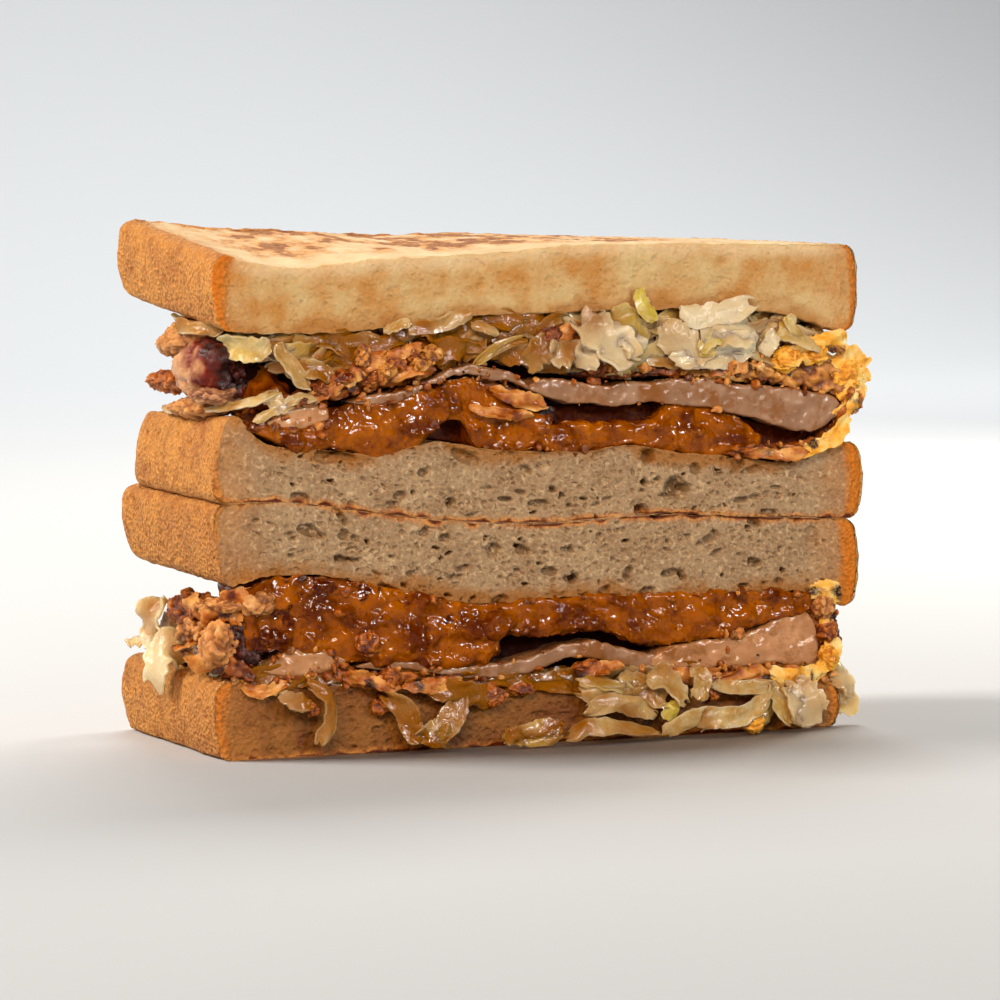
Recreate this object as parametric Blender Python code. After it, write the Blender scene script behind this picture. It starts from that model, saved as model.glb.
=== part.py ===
"""Fried chicken sandwich on thick white toast, cut in two, the halves stacked with their cuts in line.

The lower half lies upside down, so its cabbage is under the chicken and its sauce is over it.
+X runs along the cut faces, the cuts look towards -Y and +Z is up. Lengths are in millimetres
until a mesh is finished, and every mesh is then turned to metres.
"""

from collections import namedtuple
import math
import random

import bmesh
import bpy
from mathutils import Vector, noise

MM = 0.001
GAP = 0.4
CUT_Y = -26.0
BACK_Y = 23.0
LEFT_X = -60.0
RIGHT_X = 60.0
CRUST_BULGE = 1.1
CRUST_RELIEF = 0.5
CRAG_RELIEF = 1.3
CUT_RELIEF = 0.9
RELIEF_SIZE = 6.0
STATIONS_CROWD_TO_CUT = 1.3
LUMP_CRAG_SHARE = 0.28
LUMP_CRAG_SIZE = 0.6
SHRED_THICKNESS = 0.9
SHRED_MARGIN = 1.0
SHRED_SEGMENTS = 9
SHRED_TWIST = 12
LUMP_DETAIL = 2
ALMOST_ONE = 0.999
SEED = 4671

# A level is a surface between two layers: its height along the cut, as (x, z) pairs, and how far
# it climbs from the cut to the back at the left end and at the right end.
Level = namedtuple("Level", "profile rise_left rise_right")
FLOOR = Level(((LEFT_X, 0), (RIGHT_X, 0)), 0, 0)
LOWER_BREAD_TOP = Level(
    ((-58, 13.2), (-50, 12.2), (-38, 11.6), (-24, 10.5), (-8, 9.5), (10, 8.8), (30, 8.3), (57, 8.6)), 0.6, 0.6)
LOWER_CHICKEN_UNDER = Level(
    ((-57, 15.2), (-42, 14.4), (-28, 12.6), (-18, 12.0), (-8, 12.6), (6, 11.6), (20, 12.3), (32, 11.6),
     (44, 10.9), (57, 11.4)), 6.0, 1.0)
LOWER_CHICKEN_TOP = Level(
    ((-58, 26.6), (-53, 25.6), (-48, 20.2), (-40, 17.4), (-28, 16.3), (-12, 16.2), (0, 18.6), (10, 19.0),
     (20, 17.2), (32, 17.6), (42, 19.0), (49, 20.3), (54, 21.6), (58, 20.6)), 3.0, 0.5)
LOWER_SAUCE_TOP = Level(
    ((-58, 28.5), (-50, 29.8), (-42, 29.9), (-34, 28.5), (-24, 26.0), (-10, 23.9), (2, 24.5), (20, 24.3),
     (38, 24.2), (50, 23.8), (55, 22.4), (60, 21.0)), 1.2, 0.8)
SEAM = Level(
    ((-60, 42.3), (-46, 42.2), (-34, 40.6), (-20, 38.7), (-8, 37.6), (6, 37.6), (20, 38.3), (38, 37.5),
     (60, 36.5)), 0.7, 0.3)
UPPER_BREAD_TOP = Level(
    ((-60, 57.0), (-56, 56.4), (-50, 52.2), (-40, 51.0), (-29, 50.0), (-20, 51.8), (-8, 50.1), (8, 49.6),
     (16, 50.5), (24, 49.2), (36, 48.0), (46, 46.9), (54, 49.0), (60, 50.0)), -0.9, 0.5)
UPPER_CHICKEN_UNDER = Level(
    ((-54, 58.2), (-48, 55.6), (-40, 54.8), (-30, 56.8), (-16, 57.4), (0, 57.2), (14, 57.0), (26, 56.8),
     (36, 55.2), (46, 53.0), (54, 53.2), (58, 54.5)), 0.5, 0.5)
UPPER_CHICKEN_TOP = Level(
    ((-58, 67.0), (-50, 65.6), (-42, 63.0), (-34, 63.4), (-22, 65.6), (-8, 65.0), (4, 62.6), (14, 62.0),
     (24, 63.0), (34, 62.8), (44, 64.8), (52, 65.8), (58, 64.0)), 2.0, 0.8)
UPPER_CABBAGE_TOP = Level(
    ((-58, 70.2), (-44, 69.8), (-28, 70.6), (-16, 72.2), (4, 72.8), (20, 73.1), (32, 73.4), (46, 71.9),
     (56, 69.4), (60, 69.0)), 5.0, 1.2)
TOP = Level(
    ((-60, 83.2), (-54, 82.1), (-44, 81.0), (-30, 82.4), (-12, 83.1), (2, 84.4), (16, 84.8), (60, 84.5)), 5.6, 0.6)

# The plan of a layer: its ends along X, how far back it goes, and the radii of its back corners.
Plan = namedtuple("Plan", "left right back left_corner right_corner")
LOWER_BREAD_BOTTOM_PLAN = Plan(-59.5, 57.5, 22.0, 2, 8)
LOWER_BREAD_TOP_PLAN = Plan(-60.0, 61.0, 22.5, 3.5, 8)
UPPER_BREAD_BOTTOM_PLAN = Plan(-60.0, 61.5, 22.0, 11, 10)
UPPER_BREAD_TOP_PLAN = Plan(-60.0, 60.5, 23.0, 2, 8)
LOWER_CHICKEN_PLAN = Plan(-57.0, 55.0, 15.0, 22, 14)
UPPER_CHICKEN_PLAN = Plan(-52.0, 57.0, 16.0, 14, 14)
LOWER_SAUCE_PLAN = Plan(-49.0, 49.0, 12.0, 18, 12)
UPPER_SAUCE_PLAN = Plan(-48.0, 54.0, 13.0, 14, 14)
LOWER_CABBAGE_PLAN = Plan(-55.0, 54.0, 18.0, 12, 14)
UPPER_CABBAGE_PLAN = Plan(-52.0, 55.0, 19.0, 10, 12)

# A hollow goes back into a cut face: its middle along X and Z, its half sizes, and its depth.
Hollow = namedtuple("Hollow", "x z half_width half_height depth")
LOWER_CHICKEN_HOLLOWS = (
    Hollow(-3, 16.2, 5, 1.6, 4.0),
    Hollow(-18, 15.0, 4, 1.5, 2.5),
    Hollow(16, 16.4, 5, 1.5, 3.0),
    Hollow(-44, 17.5, 5, 1.5, 2.0),
)
UPPER_CHICKEN_HOLLOWS = (
    Hollow(-47, 61.5, 4, 3.0, 6.0),
)
UPPER_SAUCE_HOLLOWS = (
    Hollow(15, 54.6, 9, 2.4, 5.0),
    Hollow(45, 51.2, 7, 2.2, 5.0),
    Hollow(-16, 54.0, 4, 2.2, 4.0),
    Hollow(-36, 54.0, 5, 1.8, 3.0),
)
LOWER_SAUCE_HOLLOWS = (
    Hollow(-9, 20.5, 4, 2.2, 2.5),
    Hollow(-38, 25.5, 6, 2.2, 2.0),
)

# A lump is a piece of batter that stands out: its middle and its half sizes.
Lump = namedtuple("Lump", "x y z half_x half_y half_z")
LOWER_LUMPS = (
    Lump(52, -24.5, 16.5, 5.0, 3.0, 4.5),
    Lump(56, -17.5, 15.5, 4.0, 5.0, 4.0),
    Lump(-56, -22.5, 19.5, 4.0, 4.6, 3.2),
    Lump(-57, -13.0, 22.5, 3.6, 5.0, 3.4),
    Lump(-55, -4.0, 22.0, 4.0, 4.0, 2.6),
    Lump(54, -3.0, 17.0, 4.0, 5.0, 3.6),
    Lump(20, 14.0, 16.0, 8.0, 4.0, 3.0),
    Lump(-14, 14.5, 15.5, 7.0, 3.5, 2.6),
)
UPPER_LUMPS = (
    Lump(58, -22.0, 61.0, 4.5, 2.6, 2.4),
    Lump(-54, -12.0, 63.0, 5.6, 8.5, 4.2),
    Lump(-56, 3.0, 61.5, 3.0, 3.0, 2.0),
    Lump(45, -25.0, 63.0, 6.0, 2.4, 2.4),
    Lump(-26, -25.0, 62.2, 6.0, 2.4, 2.6),
    Lump(57, -6.0, 60.0, 3.6, 6.0, 3.4),
    Lump(24, 15.5, 60.5, 9.0, 3.5, 3.2),
    Lump(-18, 16.0, 61.5, 8.0, 3.0, 3.0),
)

# A shred is a strip of cabbage: its path through points in space, its width, and how it leans.
# The hanging ones state only the part that hangs in front of the cut.
Shred = namedtuple("Shred", "path width lean")
HANGING_SHREDS = (
    Shred(((-46, -28.8, 10), (-44, -28.8, 7)), 4.0, 10),
    Shred(((-41, -29.2, 9), (-40, -29.0, 3.5)), 2.4, 20),
    Shred(((-24, -29.0, 7.5), (-20, -28.8, 4), (-15, -28.8, 5.5)), 6.0, 0),
    Shred(((-6, -29.2, 7), (-4, -29.8, 3), (2, -30.0, 1.8)), 4.5, 0),
    Shred(((8, -29.2, 7.5), (14, -29.4, 6), (21, -29.0, 6.5)), 3.2, 0),
    Shred(((13, -30.0, 5.5), (6, -31.4, 2.6), (-1, -31.6, 2.0)), 3.0, -20),
    Shred(((26, -29.0, 8.0), (33, -29.2, 7.6), (40, -28.8, 7.4)), 2.6, 0),
    Shred(((31, -29.8, 6), (27, -30.8, 3.4), (20, -31.4, 2.4)), 3.2, 10),
    Shred(((38, -29.4, 6.5), (35, -30.6, 3.4), (29, -31.2, 2.6)), 3.4, 0),
    Shred(((46, -29.0, 7), (45.5, -29.2, 3.4)), 7.0, 0),
)
HANG_FROM_Y = -19.0
HANG_OVER_Y = -27.9
SIDE_SHREDS = (
    Shred(((-49, -2, 15.6), (-60.6, -3, 15.8), (-61.9, -3, 12), (-61.8, -3, 8.5)), 5.0, 0),
    Shred(((-50, 8, 17.4), (-56, 8, 17.8), (-58.5, 3, 18.0), (-57, -3, 18.0)), 3.0, 60),
    Shred(((46, -12, 10.2), (58.9, -12, 10.6), (60.2, -14, 8.0), (60.2, -17, 4.5)), 4.0, 0),
    Shred(((46, 4, 10.4), (54, 5, 10.6), (57, 9, 10.6), (54, 13, 10.6)), 3.0, 10),
)
CUT_SHREDS = (
    Shred(((-54, -24, 67.6), (-50, -26.6, 68.0), (-46, -25.6, 66.0), (-43, -20, 65.4)), 3.4, 70),
    Shred(((-40, -26.8, 66.5), (-36, -24, 67.0), (-32, -18, 67.2)), 4.6, 40),
    Shred(((-31, -26.4, 69.0), (-25, -25.6, 69.4), (-18, -26.8, 70.2), (-12, -22, 70.4)), 2.2, 80),
    Shred(((-22, -26.4, 67.6), (-19, -20, 68.4), (-12, -14, 69.0)), 3.6, 30),
    Shred(((-6, -26.6, 68.4), (-4, -21, 68.0), (4, -16, 68.0)), 4.0, 60),
    Shred(((4, -26.0, 70.6), (10, -27.0, 69.4), (15, -25.0, 66.6), (12, -18, 65.6)), 3.4, 30),
    Shred(((17, -27.0, 70.6), (20, -25.4, 70.9), (22, -18, 70.2)), 2.6, 80),
    Shred(((22, -26.6, 66.4), (28, -27.2, 68.6), (34, -26.0, 70.8), (38, -20, 70.4)), 4.2, 40),
    Shred(((27, -26.4, 71.2), (33, -25.4, 68.8), (38, -26.4, 67.0), (40, -20, 66.4)), 3.0, 70),
    Shred(((41, -26.8, 67.8), (43, -20, 68.0), (40, -12, 68.2)), 3.2, 80),
    Shred(((45, -26.4, 69.4), (50, -26.8, 68.8), (55, -24, 67.6), (54, -16, 67.2)), 3.6, 50),
    Shred(((-14, -26.6, 70.6), (-9, -25.8, 69.6), (-3, -24, 69.8), (2, -18, 70.0)), 2.6, 70),
    Shred(((6, -26.6, 67.0), (12, -26.0, 68.4), (19, -26.6, 67.2), (24, -20, 66.8)), 3.0, 20),
    Shred(((33, -26.6, 67.0), (36, -27.0, 69.6), (40, -26.0, 70.8), (46, -20, 69.8)), 3.0, 50),
    Shred(((-50, -18, 69.4), (-56.4, -16, 70.0), (-57.4, -8, 71.0), (-52, -2, 71.4)), 3.4, 70),
    Shred(((-48, -2, 68.4), (-56.0, 2, 69.4), (-57.0, 8, 71.4), (-52, 13, 72.2)), 3.6, 60),
)
LOOSE_END_COUNT = 8
LOOSE_END_LENGTH = 22.0

COLOURS = {
    "bread": (0.60, 0.44, 0.27),
    "chicken": (0.42, 0.22, 0.09),
    "sauce": (0.36, 0.14, 0.03),
    "cabbage": (0.72, 0.68, 0.45),
}


def clear_scene():
    """Remove every object that the file holds."""
    for thing in list(bpy.data.objects):
        bpy.data.objects.remove(thing)


def food_material(name, roughness):
    """A plain material of one food's colour."""
    material = bpy.data.materials.get(name)
    if material is None:
        material = bpy.data.materials.new(name)
        material.use_nodes = True
        shader = material.node_tree.nodes["Principled BSDF"]
        shader.inputs["Base Color"].default_value = (*COLOURS[name], 1)
        shader.inputs["Roughness"].default_value = roughness
        shader.inputs["Metallic"].default_value = 0
    return material


def smooth_height(profile, x):
    """Height of a smooth line through a profile's points, level past its ends."""
    if x <= profile[0][0]:
        return profile[0][1]
    if x >= profile[-1][0]:
        return profile[-1][1]
    index = max(i for i, point in enumerate(profile) if point[0] <= x)
    before, start, end, after = (
        profile[min(max(index + step, 0), len(profile) - 1)] for step in (-1, 0, 1, 2))
    span = end[0] - start[0]
    slope_in = (end[1] - before[1]) / (end[0] - before[0]) * span
    slope_out = (after[1] - start[1]) / (after[0] - start[0]) * span
    t = (x - start[0]) / span
    return ((2 * t ** 3 - 3 * t ** 2 + 1) * start[1] + (t ** 3 - 2 * t ** 2 + t) * slope_in
            + (3 * t ** 2 - 2 * t ** 3) * end[1] + (t ** 3 - t ** 2) * slope_out)


def height(level, x, y):
    """Height of a level over a point of the plan."""
    back_share = min(max((y - CUT_Y) / (BACK_Y - CUT_Y), 0), 1)
    right_share = min(max((x - LEFT_X) / (RIGHT_X - LEFT_X), 0), 1)
    rise = level.rise_left + (level.rise_right - level.rise_left) * right_share
    return smooth_height(level.profile, x) + rise * back_share


def round_corner(x, y, plan):
    """Move a point of a square plan so that the plan's back corners are round."""
    radius = plan.left_corner if x < 0 else plan.right_corner
    side = -1 if x < 0 else 1
    edge = plan.left if x < 0 else plan.right
    across = (side * (x - edge) + radius) / radius
    along = (y - plan.back + radius) / radius
    if across <= 0 or along <= 0:
        return x, y
    round_across = across * math.sqrt(1 - along ** 2 / 2)
    round_along = along * math.sqrt(1 - across ** 2 / 2)
    return edge + side * radius * (round_across - 1), plan.back + radius * (round_along - 1)


def block(cuts):
    """A cube from -1 to 1, cut evenly along X, Y and Z."""
    shape = bmesh.new()
    bmesh.ops.create_cube(shape, size=2)
    for axis, count in enumerate(cuts):
        edges = [e for e in shape.edges if abs(e.verts[0].co[axis] - e.verts[1].co[axis]) > 1.5]
        bmesh.ops.subdivide_edges(shape, edges=edges, cuts=count, use_grid_fill=True)
    return shape


def relief_at(x, y, z):
    """Uneven relief from -1 to 1, with bumps of one size."""
    return noise.noise(Vector((x, y, z)) / RELIEF_SIZE)


def layer(name, kind, plan, under, over, cuts, front=CUT_Y, hollows=(), bulge=0.0, relief=0.0,
          cut_relief=0.0, roughness=0.7):
    """A slab between two levels, with a rounded plan, an uneven rim and a cut face with hollows."""
    shape = block(cuts)
    for vertex in shape.verts:
        u, v, w = vertex.co
        share_back = ((v + 1) / 2) ** STATIONS_CROWD_TO_CUT
        share_up = (w + 1) / 2
        x = plan.left + (plan.right - plan.left) * (u + 1) / 2
        y = front + (plan.back - front) * share_back
        x, y = round_corner(x, y, plan)
        rim = Vector((u if abs(u) > ALMOST_ONE else 0, 1 if v > ALMOST_ONE else 0))
        swell = bulge * (4 * share_up * (1 - share_up) - 1)
        middle = height(under, x, y) * (1 - share_up) + height(over, x, y) * share_up
        x, y = Vector((x, y)) + rim * (swell + relief * relief_at(x, y, middle))
        z_under = height(under, x, y) + (GAP / 2 if under is not FLOOR else 0)
        z = z_under + (height(over, x, y) - GAP / 2 - z_under) * share_up
        if v < -ALMOST_ONE and abs(w) < ALMOST_ONE:
            y += cut_relief * abs(relief_at(x, y, z))
            for hollow in hollows:
                reach = ((x - hollow.x) / hollow.half_width) ** 2 + ((z - hollow.z) / hollow.half_height) ** 2
                y += hollow.depth * math.exp(-reach)
        vertex.co = (x, y, z)
    return finish(name, kind, shape, roughness)


def finish(name, kind, shape, roughness=0.7):
    """Turn a mesh from millimetres to metres and make it a named object."""
    bmesh.ops.scale(shape, vec=(MM, MM, MM), verts=shape.verts)
    bmesh.ops.recalc_face_normals(shape, faces=shape.faces)
    mesh = bpy.data.meshes.new(name)
    shape.to_mesh(mesh)
    shape.free()
    mesh.materials.append(food_material(kind, roughness))
    piece = bpy.data.objects.new(name, mesh)
    bpy.context.scene.collection.objects.link(piece)
    return piece


def held_between(point, under, over, margin):
    """Keep a point that lies over the plan between two levels."""
    x, y, z = point
    if y < CUT_Y - GAP or x < LEFT_X - GAP or x > RIGHT_X + CRUST_BULGE:
        return Vector(point)
    lowest = height(under, x, y) + GAP + margin
    highest = height(over, x, y) - GAP - margin
    return Vector((x, y, min(max(z, lowest), max(highest, lowest))))


def batter_lump(lump, under, over):
    """A craggy lump of batter."""
    shape = bmesh.new()
    bmesh.ops.create_icosphere(shape, subdivisions=LUMP_DETAIL, radius=1)
    middle = Vector((lump.x, lump.y, lump.z))
    for vertex in shape.verts:
        crag = 1 + LUMP_CRAG_SHARE * noise.noise(vertex.co / LUMP_CRAG_SIZE + middle)
        offset = Vector((lump.half_x, lump.half_y, lump.half_z)) * crag
        vertex.co = held_between(middle + vertex.co * offset, under, over, 0.1)
    return finish("lump", "chicken", shape)


def path_point(path, share):
    """Point on a smooth path at a share of its length in points."""
    spot = share * (len(path) - 1)
    index = min(int(spot), len(path) - 2)
    t = spot - index
    before, start, end, after = (
        Vector(path[min(max(index + step, 0), len(path) - 1)]) for step in (-1, 0, 1, 2))
    return 0.5 * (2 * start + (end - before) * t + (2 * before - 5 * start + 4 * end - after) * t ** 2
                  + (3 * start - before - 3 * end + after) * t ** 3)


def cabbage_shred(shred, under, over):
    """A thin wavy strip of cabbage, both of its faces split into the same triangles."""
    shape = bmesh.new()
    bmesh.ops.create_grid(shape, x_segments=SHRED_SEGMENTS, y_segments=1, size=1)
    for vertex in shape.verts:
        share = (vertex.co.x + 1) / 2
        side = vertex.co.y
        here = path_point(shred.path, share)
        ahead = path_point(shred.path, min(share + 0.02, 1)) - path_point(shred.path, max(share - 0.02, 0))
        flat = ahead.cross(Vector((0, 0, 1))).normalized()
        steep = flat.cross(ahead).normalized()
        lean = math.radians(shred.lean + SHRED_TWIST * math.sin(SHRED_SEGMENTS * share + shred.path[0][0]))
        across = flat * math.cos(lean) + steep * math.sin(lean)
        vertex.co = held_between(here + across * side * shred.width / 2, under, over, SHRED_MARGIN)
    bmesh.ops.triangulate(shape, faces=shape.faces, quad_method="FIXED")
    strip = finish("shred", "cabbage", shape)
    wall = strip.modifiers.new("thickness", "SOLIDIFY")
    wall.thickness = SHRED_THICKNESS * MM
    wall.offset = 0
    return strip


def hanging_shred(shred, under, over):
    """A shred that comes out between two levels and hangs in front of the cut."""
    x = shred.path[0][0]
    z = (height(under, x, CUT_Y) + height(over, x, CUT_Y)) / 2
    return Shred(((x, HANG_FROM_Y, z), (x, HANG_OVER_Y, z), *shred.path), shred.width, shred.lean)


def join_pieces(core, pieces):
    """Fuse pieces to a core with one Boolean union, and keep the one body that results.

    The exact solver leaves edges open where many thin pieces cross, so this is the manifold one.
    """
    group = bpy.data.collections.new("fused to " + core.name)
    bpy.context.scene.collection.children.link(group)
    for piece in pieces:
        bpy.context.scene.collection.objects.unlink(piece)
        group.objects.link(piece)
    union = core.modifiers.new("union", "BOOLEAN")
    union.operation = "UNION"
    union.operand_type = "COLLECTION"
    union.collection = group
    union.solver = "MANIFOLD"
    bpy.context.view_layer.objects.active = core
    bpy.ops.object.modifier_apply(modifier=union.name)
    for piece in pieces:
        bpy.data.objects.remove(piece)
    bpy.data.collections.remove(group)
    keep_largest_shell(core)


def keep_largest_shell(piece):
    """Drop loose scraps and fill sealed hollows, by keeping only the shell with the most faces."""
    shape = bmesh.new()
    shape.from_mesh(piece.data)
    shells = []
    unseen = set(shape.verts)
    while unseen:
        shell = set()
        waiting = [unseen.pop()]
        while waiting:
            vertex = waiting.pop()
            shell.add(vertex)
            neighbours = {edge.other_vert(vertex) for edge in vertex.link_edges} & unseen
            unseen -= neighbours
            waiting.extend(neighbours)
        shells.append(shell)
    largest = max(shells, key=len)
    spare = [vertex for vertex in shape.verts if vertex not in largest]
    bmesh.ops.delete(shape, geom=spare, context="VERTS")
    bmesh.ops.triangulate(shape, faces=shape.faces)
    shape.to_mesh(piece.data)
    shape.free()


def bread_slice(name, plan, under, over):
    """A half slice of toast with a crust that swells and ripples."""
    return layer(name, "bread", plan, under, over, (19, 5, 2), bulge=CRUST_BULGE, relief=CRUST_RELIEF)


def fried_chicken(name, plan, under, over, hollows, lumps):
    """A fried fillet in its batter, cut through, with the batter's crags as lumps."""
    fillet = layer(
        name, "chicken", plan, under, over, (23, 6, 3), hollows=hollows, bulge=0.8, relief=CRAG_RELIEF,
        cut_relief=CUT_RELIEF)
    join_pieces(fillet, [batter_lump(lump, under, over) for lump in lumps])
    return fillet


def sauce_layer(name, plan, under, over, hollows):
    """A thick layer of sauce that the cut shows."""
    return layer(
        name, "sauce", plan, under, over, (21, 3, 2), hollows=hollows, bulge=0.4, relief=0.6,
        cut_relief=CUT_RELIEF, roughness=0.3)


def back_shreds(plan, under, over, chance):
    """Loose ends of cabbage that stand out of a layer's back edge."""
    shreds = []
    for index in range(LOOSE_END_COUNT):
        share = (index + chance.uniform(0.3, 0.7)) / LOOSE_END_COUNT
        x = plan.left + 12 + (plan.right - plan.left - 24) * share
        turn = chance.uniform(-0.5, 0.5) * LOOSE_END_LENGTH
        y = plan.back
        z = (height(under, x, y) + height(over, x, y)) / 2
        path = ((x - turn, y - 8, z), (x, y + chance.uniform(0.5, 1.5), z), (x + turn, y - 5, z))
        shreds.append(Shred(path, chance.uniform(2.4, 4.0), chance.uniform(20, 80)))
    return shreds


def cabbage_heap(name, plan, under, over, shreds, front, chance):
    """A heap of shredded cabbage: a core with the shreds that show fused to it."""
    core = layer(name, "cabbage", plan, under, over, (21, 4, 1), front=front, bulge=0.0, relief=1.0)
    strands = list(shreds) + back_shreds(plan, under, over, chance)
    join_pieces(core, [cabbage_shred(strand, under, over) for strand in strands])
    return core


def stand_on_origin(pieces):
    """Move all pieces so that the middle of their floor area is the origin."""
    corners = [corner.co for piece in pieces for corner in piece.data.vertices]
    middle_x = (min(c.x for c in corners) + max(c.x for c in corners)) / 2
    middle_y = (min(c.y for c in corners) + max(c.y for c in corners)) / 2
    for piece in pieces:
        piece.location = (-middle_x, -middle_y, 0)


def build_sandwich():
    """Both halves, from the bottom up."""
    chance = random.Random(SEED)
    hanging = tuple(hanging_shred(shred, LOWER_BREAD_TOP, LOWER_CHICKEN_UNDER) for shred in HANGING_SHREDS)
    pieces = [
        bread_slice("lower_bread_bottom", LOWER_BREAD_BOTTOM_PLAN, FLOOR, LOWER_BREAD_TOP),
        cabbage_heap("lower_cabbage", LOWER_CABBAGE_PLAN, LOWER_BREAD_TOP, LOWER_CHICKEN_UNDER,
                     hanging + SIDE_SHREDS, CUT_Y + 1, chance),
        fried_chicken("lower_chicken", LOWER_CHICKEN_PLAN, LOWER_CHICKEN_UNDER, LOWER_CHICKEN_TOP,
                      LOWER_CHICKEN_HOLLOWS, LOWER_LUMPS),
        sauce_layer("lower_sauce", LOWER_SAUCE_PLAN, LOWER_CHICKEN_TOP, LOWER_SAUCE_TOP, LOWER_SAUCE_HOLLOWS),
        bread_slice("lower_bread_top", LOWER_BREAD_TOP_PLAN, LOWER_SAUCE_TOP, SEAM),
        bread_slice("upper_bread_bottom", UPPER_BREAD_BOTTOM_PLAN, SEAM, UPPER_BREAD_TOP),
        sauce_layer("upper_sauce", UPPER_SAUCE_PLAN, UPPER_BREAD_TOP, UPPER_CHICKEN_UNDER, UPPER_SAUCE_HOLLOWS),
        fried_chicken("upper_chicken", UPPER_CHICKEN_PLAN, UPPER_CHICKEN_UNDER, UPPER_CHICKEN_TOP,
                      UPPER_CHICKEN_HOLLOWS, UPPER_LUMPS),
        cabbage_heap("upper_cabbage", UPPER_CABBAGE_PLAN, UPPER_CHICKEN_TOP, UPPER_CABBAGE_TOP,
                     CUT_SHREDS, CUT_Y + 3, chance),
        bread_slice("upper_bread_top", UPPER_BREAD_TOP_PLAN, UPPER_CABBAGE_TOP, TOP),
    ]
    stand_on_origin(pieces)


clear_scene()
build_sandwich()
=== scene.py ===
"""Looks of a fried chicken sandwich on thick toast, cut in two, with its halves stacked.

The food is shaped in millimetres in the CAD's working frame, where the cuts lie at one Y, and each
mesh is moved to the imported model's frame and turned to metres when it is finished.
"""
from collections import namedtuple
import itertools
import math
import random

import bpy
import numpy as np
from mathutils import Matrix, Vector


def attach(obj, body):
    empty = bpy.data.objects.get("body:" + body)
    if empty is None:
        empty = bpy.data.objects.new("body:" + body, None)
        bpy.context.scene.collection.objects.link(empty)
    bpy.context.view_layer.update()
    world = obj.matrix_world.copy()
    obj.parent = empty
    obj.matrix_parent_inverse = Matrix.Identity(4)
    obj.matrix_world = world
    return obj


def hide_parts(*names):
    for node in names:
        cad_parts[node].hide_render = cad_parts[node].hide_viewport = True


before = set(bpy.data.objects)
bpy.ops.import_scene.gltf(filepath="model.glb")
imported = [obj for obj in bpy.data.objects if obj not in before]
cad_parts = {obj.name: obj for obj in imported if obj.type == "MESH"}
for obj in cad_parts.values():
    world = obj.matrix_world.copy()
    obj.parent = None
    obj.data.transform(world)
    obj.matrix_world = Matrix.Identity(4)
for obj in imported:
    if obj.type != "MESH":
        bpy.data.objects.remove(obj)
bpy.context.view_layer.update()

MM = 0.001
MODEL_SHIFT = np.array((0.235, 5.041, 0.0))
LATTICE_SIDE = 64
LATTICE = np.random.default_rng(4671).random(LATTICE_SIDE ** 3)
GAP = 0.4
CUT_Y = -26.0
BACK_Y = 23.0
LEFT_X = -60.0
RIGHT_X = 60.0
ALMOST_ONE = 0.999

# Levels between the layers: height along the cut as (x, z) pairs, then the climb to the back at
# the left end and at the right end.
Level = namedtuple("Level", "profile rise_left rise_right")
FLOOR = Level(((LEFT_X, 0), (RIGHT_X, 0)), 0, 0)
LOWER_BREAD_TOP = Level(
    ((-58, 13.2), (-50, 12.2), (-38, 11.6), (-24, 10.5), (-8, 9.5), (10, 8.8), (30, 8.3), (57, 8.6)),
     0.6, 0.6)
LOWER_CHICKEN_UNDER = Level(
    ((-57, 15.2), (-42, 14.4), (-28, 12.6), (-18, 12.0), (-8, 12.6), (6, 11.6), (20, 12.3), (32, 11.6),
     (44, 10.9), (57, 11.4)), 6.0, 1.0)
LOWER_CHICKEN_TOP = Level(
    ((-58, 26.6), (-53, 25.6), (-48, 20.2), (-40, 17.4), (-28, 16.3), (-12, 16.2), (0, 18.6), (10, 19.0),
     (20, 17.2), (32, 17.6), (42, 19.0), (49, 20.3), (54, 21.6), (58, 20.6)), 3.0, 0.5)
LOWER_SAUCE_TOP = Level(
    ((-58, 28.5), (-50, 29.8), (-42, 29.9), (-34, 28.5), (-24, 26.0), (-10, 23.9), (2, 24.5), (20, 24.3),
     (38, 24.2), (50, 23.8), (55, 22.4), (60, 21.0)), 1.2, 0.8)
SEAM = Level(
    ((-60, 42.3), (-46, 42.2), (-34, 40.6), (-20, 38.7), (-8, 37.6), (6, 37.6), (20, 38.3), (38, 37.5),
     (60, 36.5)), 0.7, 0.3)
UPPER_BREAD_TOP = Level(
    ((-60, 57.0), (-56, 56.4), (-50, 52.2), (-40, 51.0), (-29, 50.0), (-20, 51.8), (-8, 50.1), (8, 49.6),
     (16, 50.5), (24, 49.2), (36, 48.0), (46, 46.9), (54, 49.0), (60, 50.0)), -0.9, 0.5)
UPPER_CHICKEN_UNDER = Level(
    ((-54, 58.2), (-48, 55.6), (-40, 54.8), (-30, 56.8), (-16, 57.4), (0, 57.2), (14, 57.0), (26, 56.8),
     (36, 55.2), (46, 53.0), (54, 53.2), (58, 54.5)), 0.5, 0.5)
UPPER_CHICKEN_TOP = Level(
    ((-58, 67.0), (-50, 65.6), (-42, 63.0), (-34, 63.4), (-22, 65.6), (-8, 65.0), (4, 62.6), (14, 62.0),
     (24, 63.0), (34, 62.8), (44, 64.8), (52, 65.8), (58, 64.0)), 2.0, 0.8)
UPPER_CABBAGE_TOP = Level(
    ((-58, 70.2), (-44, 69.8), (-28, 70.6), (-16, 72.2), (4, 72.8), (20, 73.1), (32, 73.4), (46, 71.9),
     (56, 69.4), (60, 69.0)), 5.0, 1.2)
TOP = Level(
    ((-60, 83.2), (-54, 82.1), (-44, 81.0), (-30, 82.4), (-12, 83.1), (2, 84.4), (16, 84.8),
     (60, 84.5)), 5.6, 0.6)

# The top face climbs most near its left end, where the slice is squeezed.
TOP_RISE = ((-60, 5.8), (-48, 6.8), (-36, 5.4), (-26, 4.2), (-6, 2.6), (16, 1.2), (60, 0.6))

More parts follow.
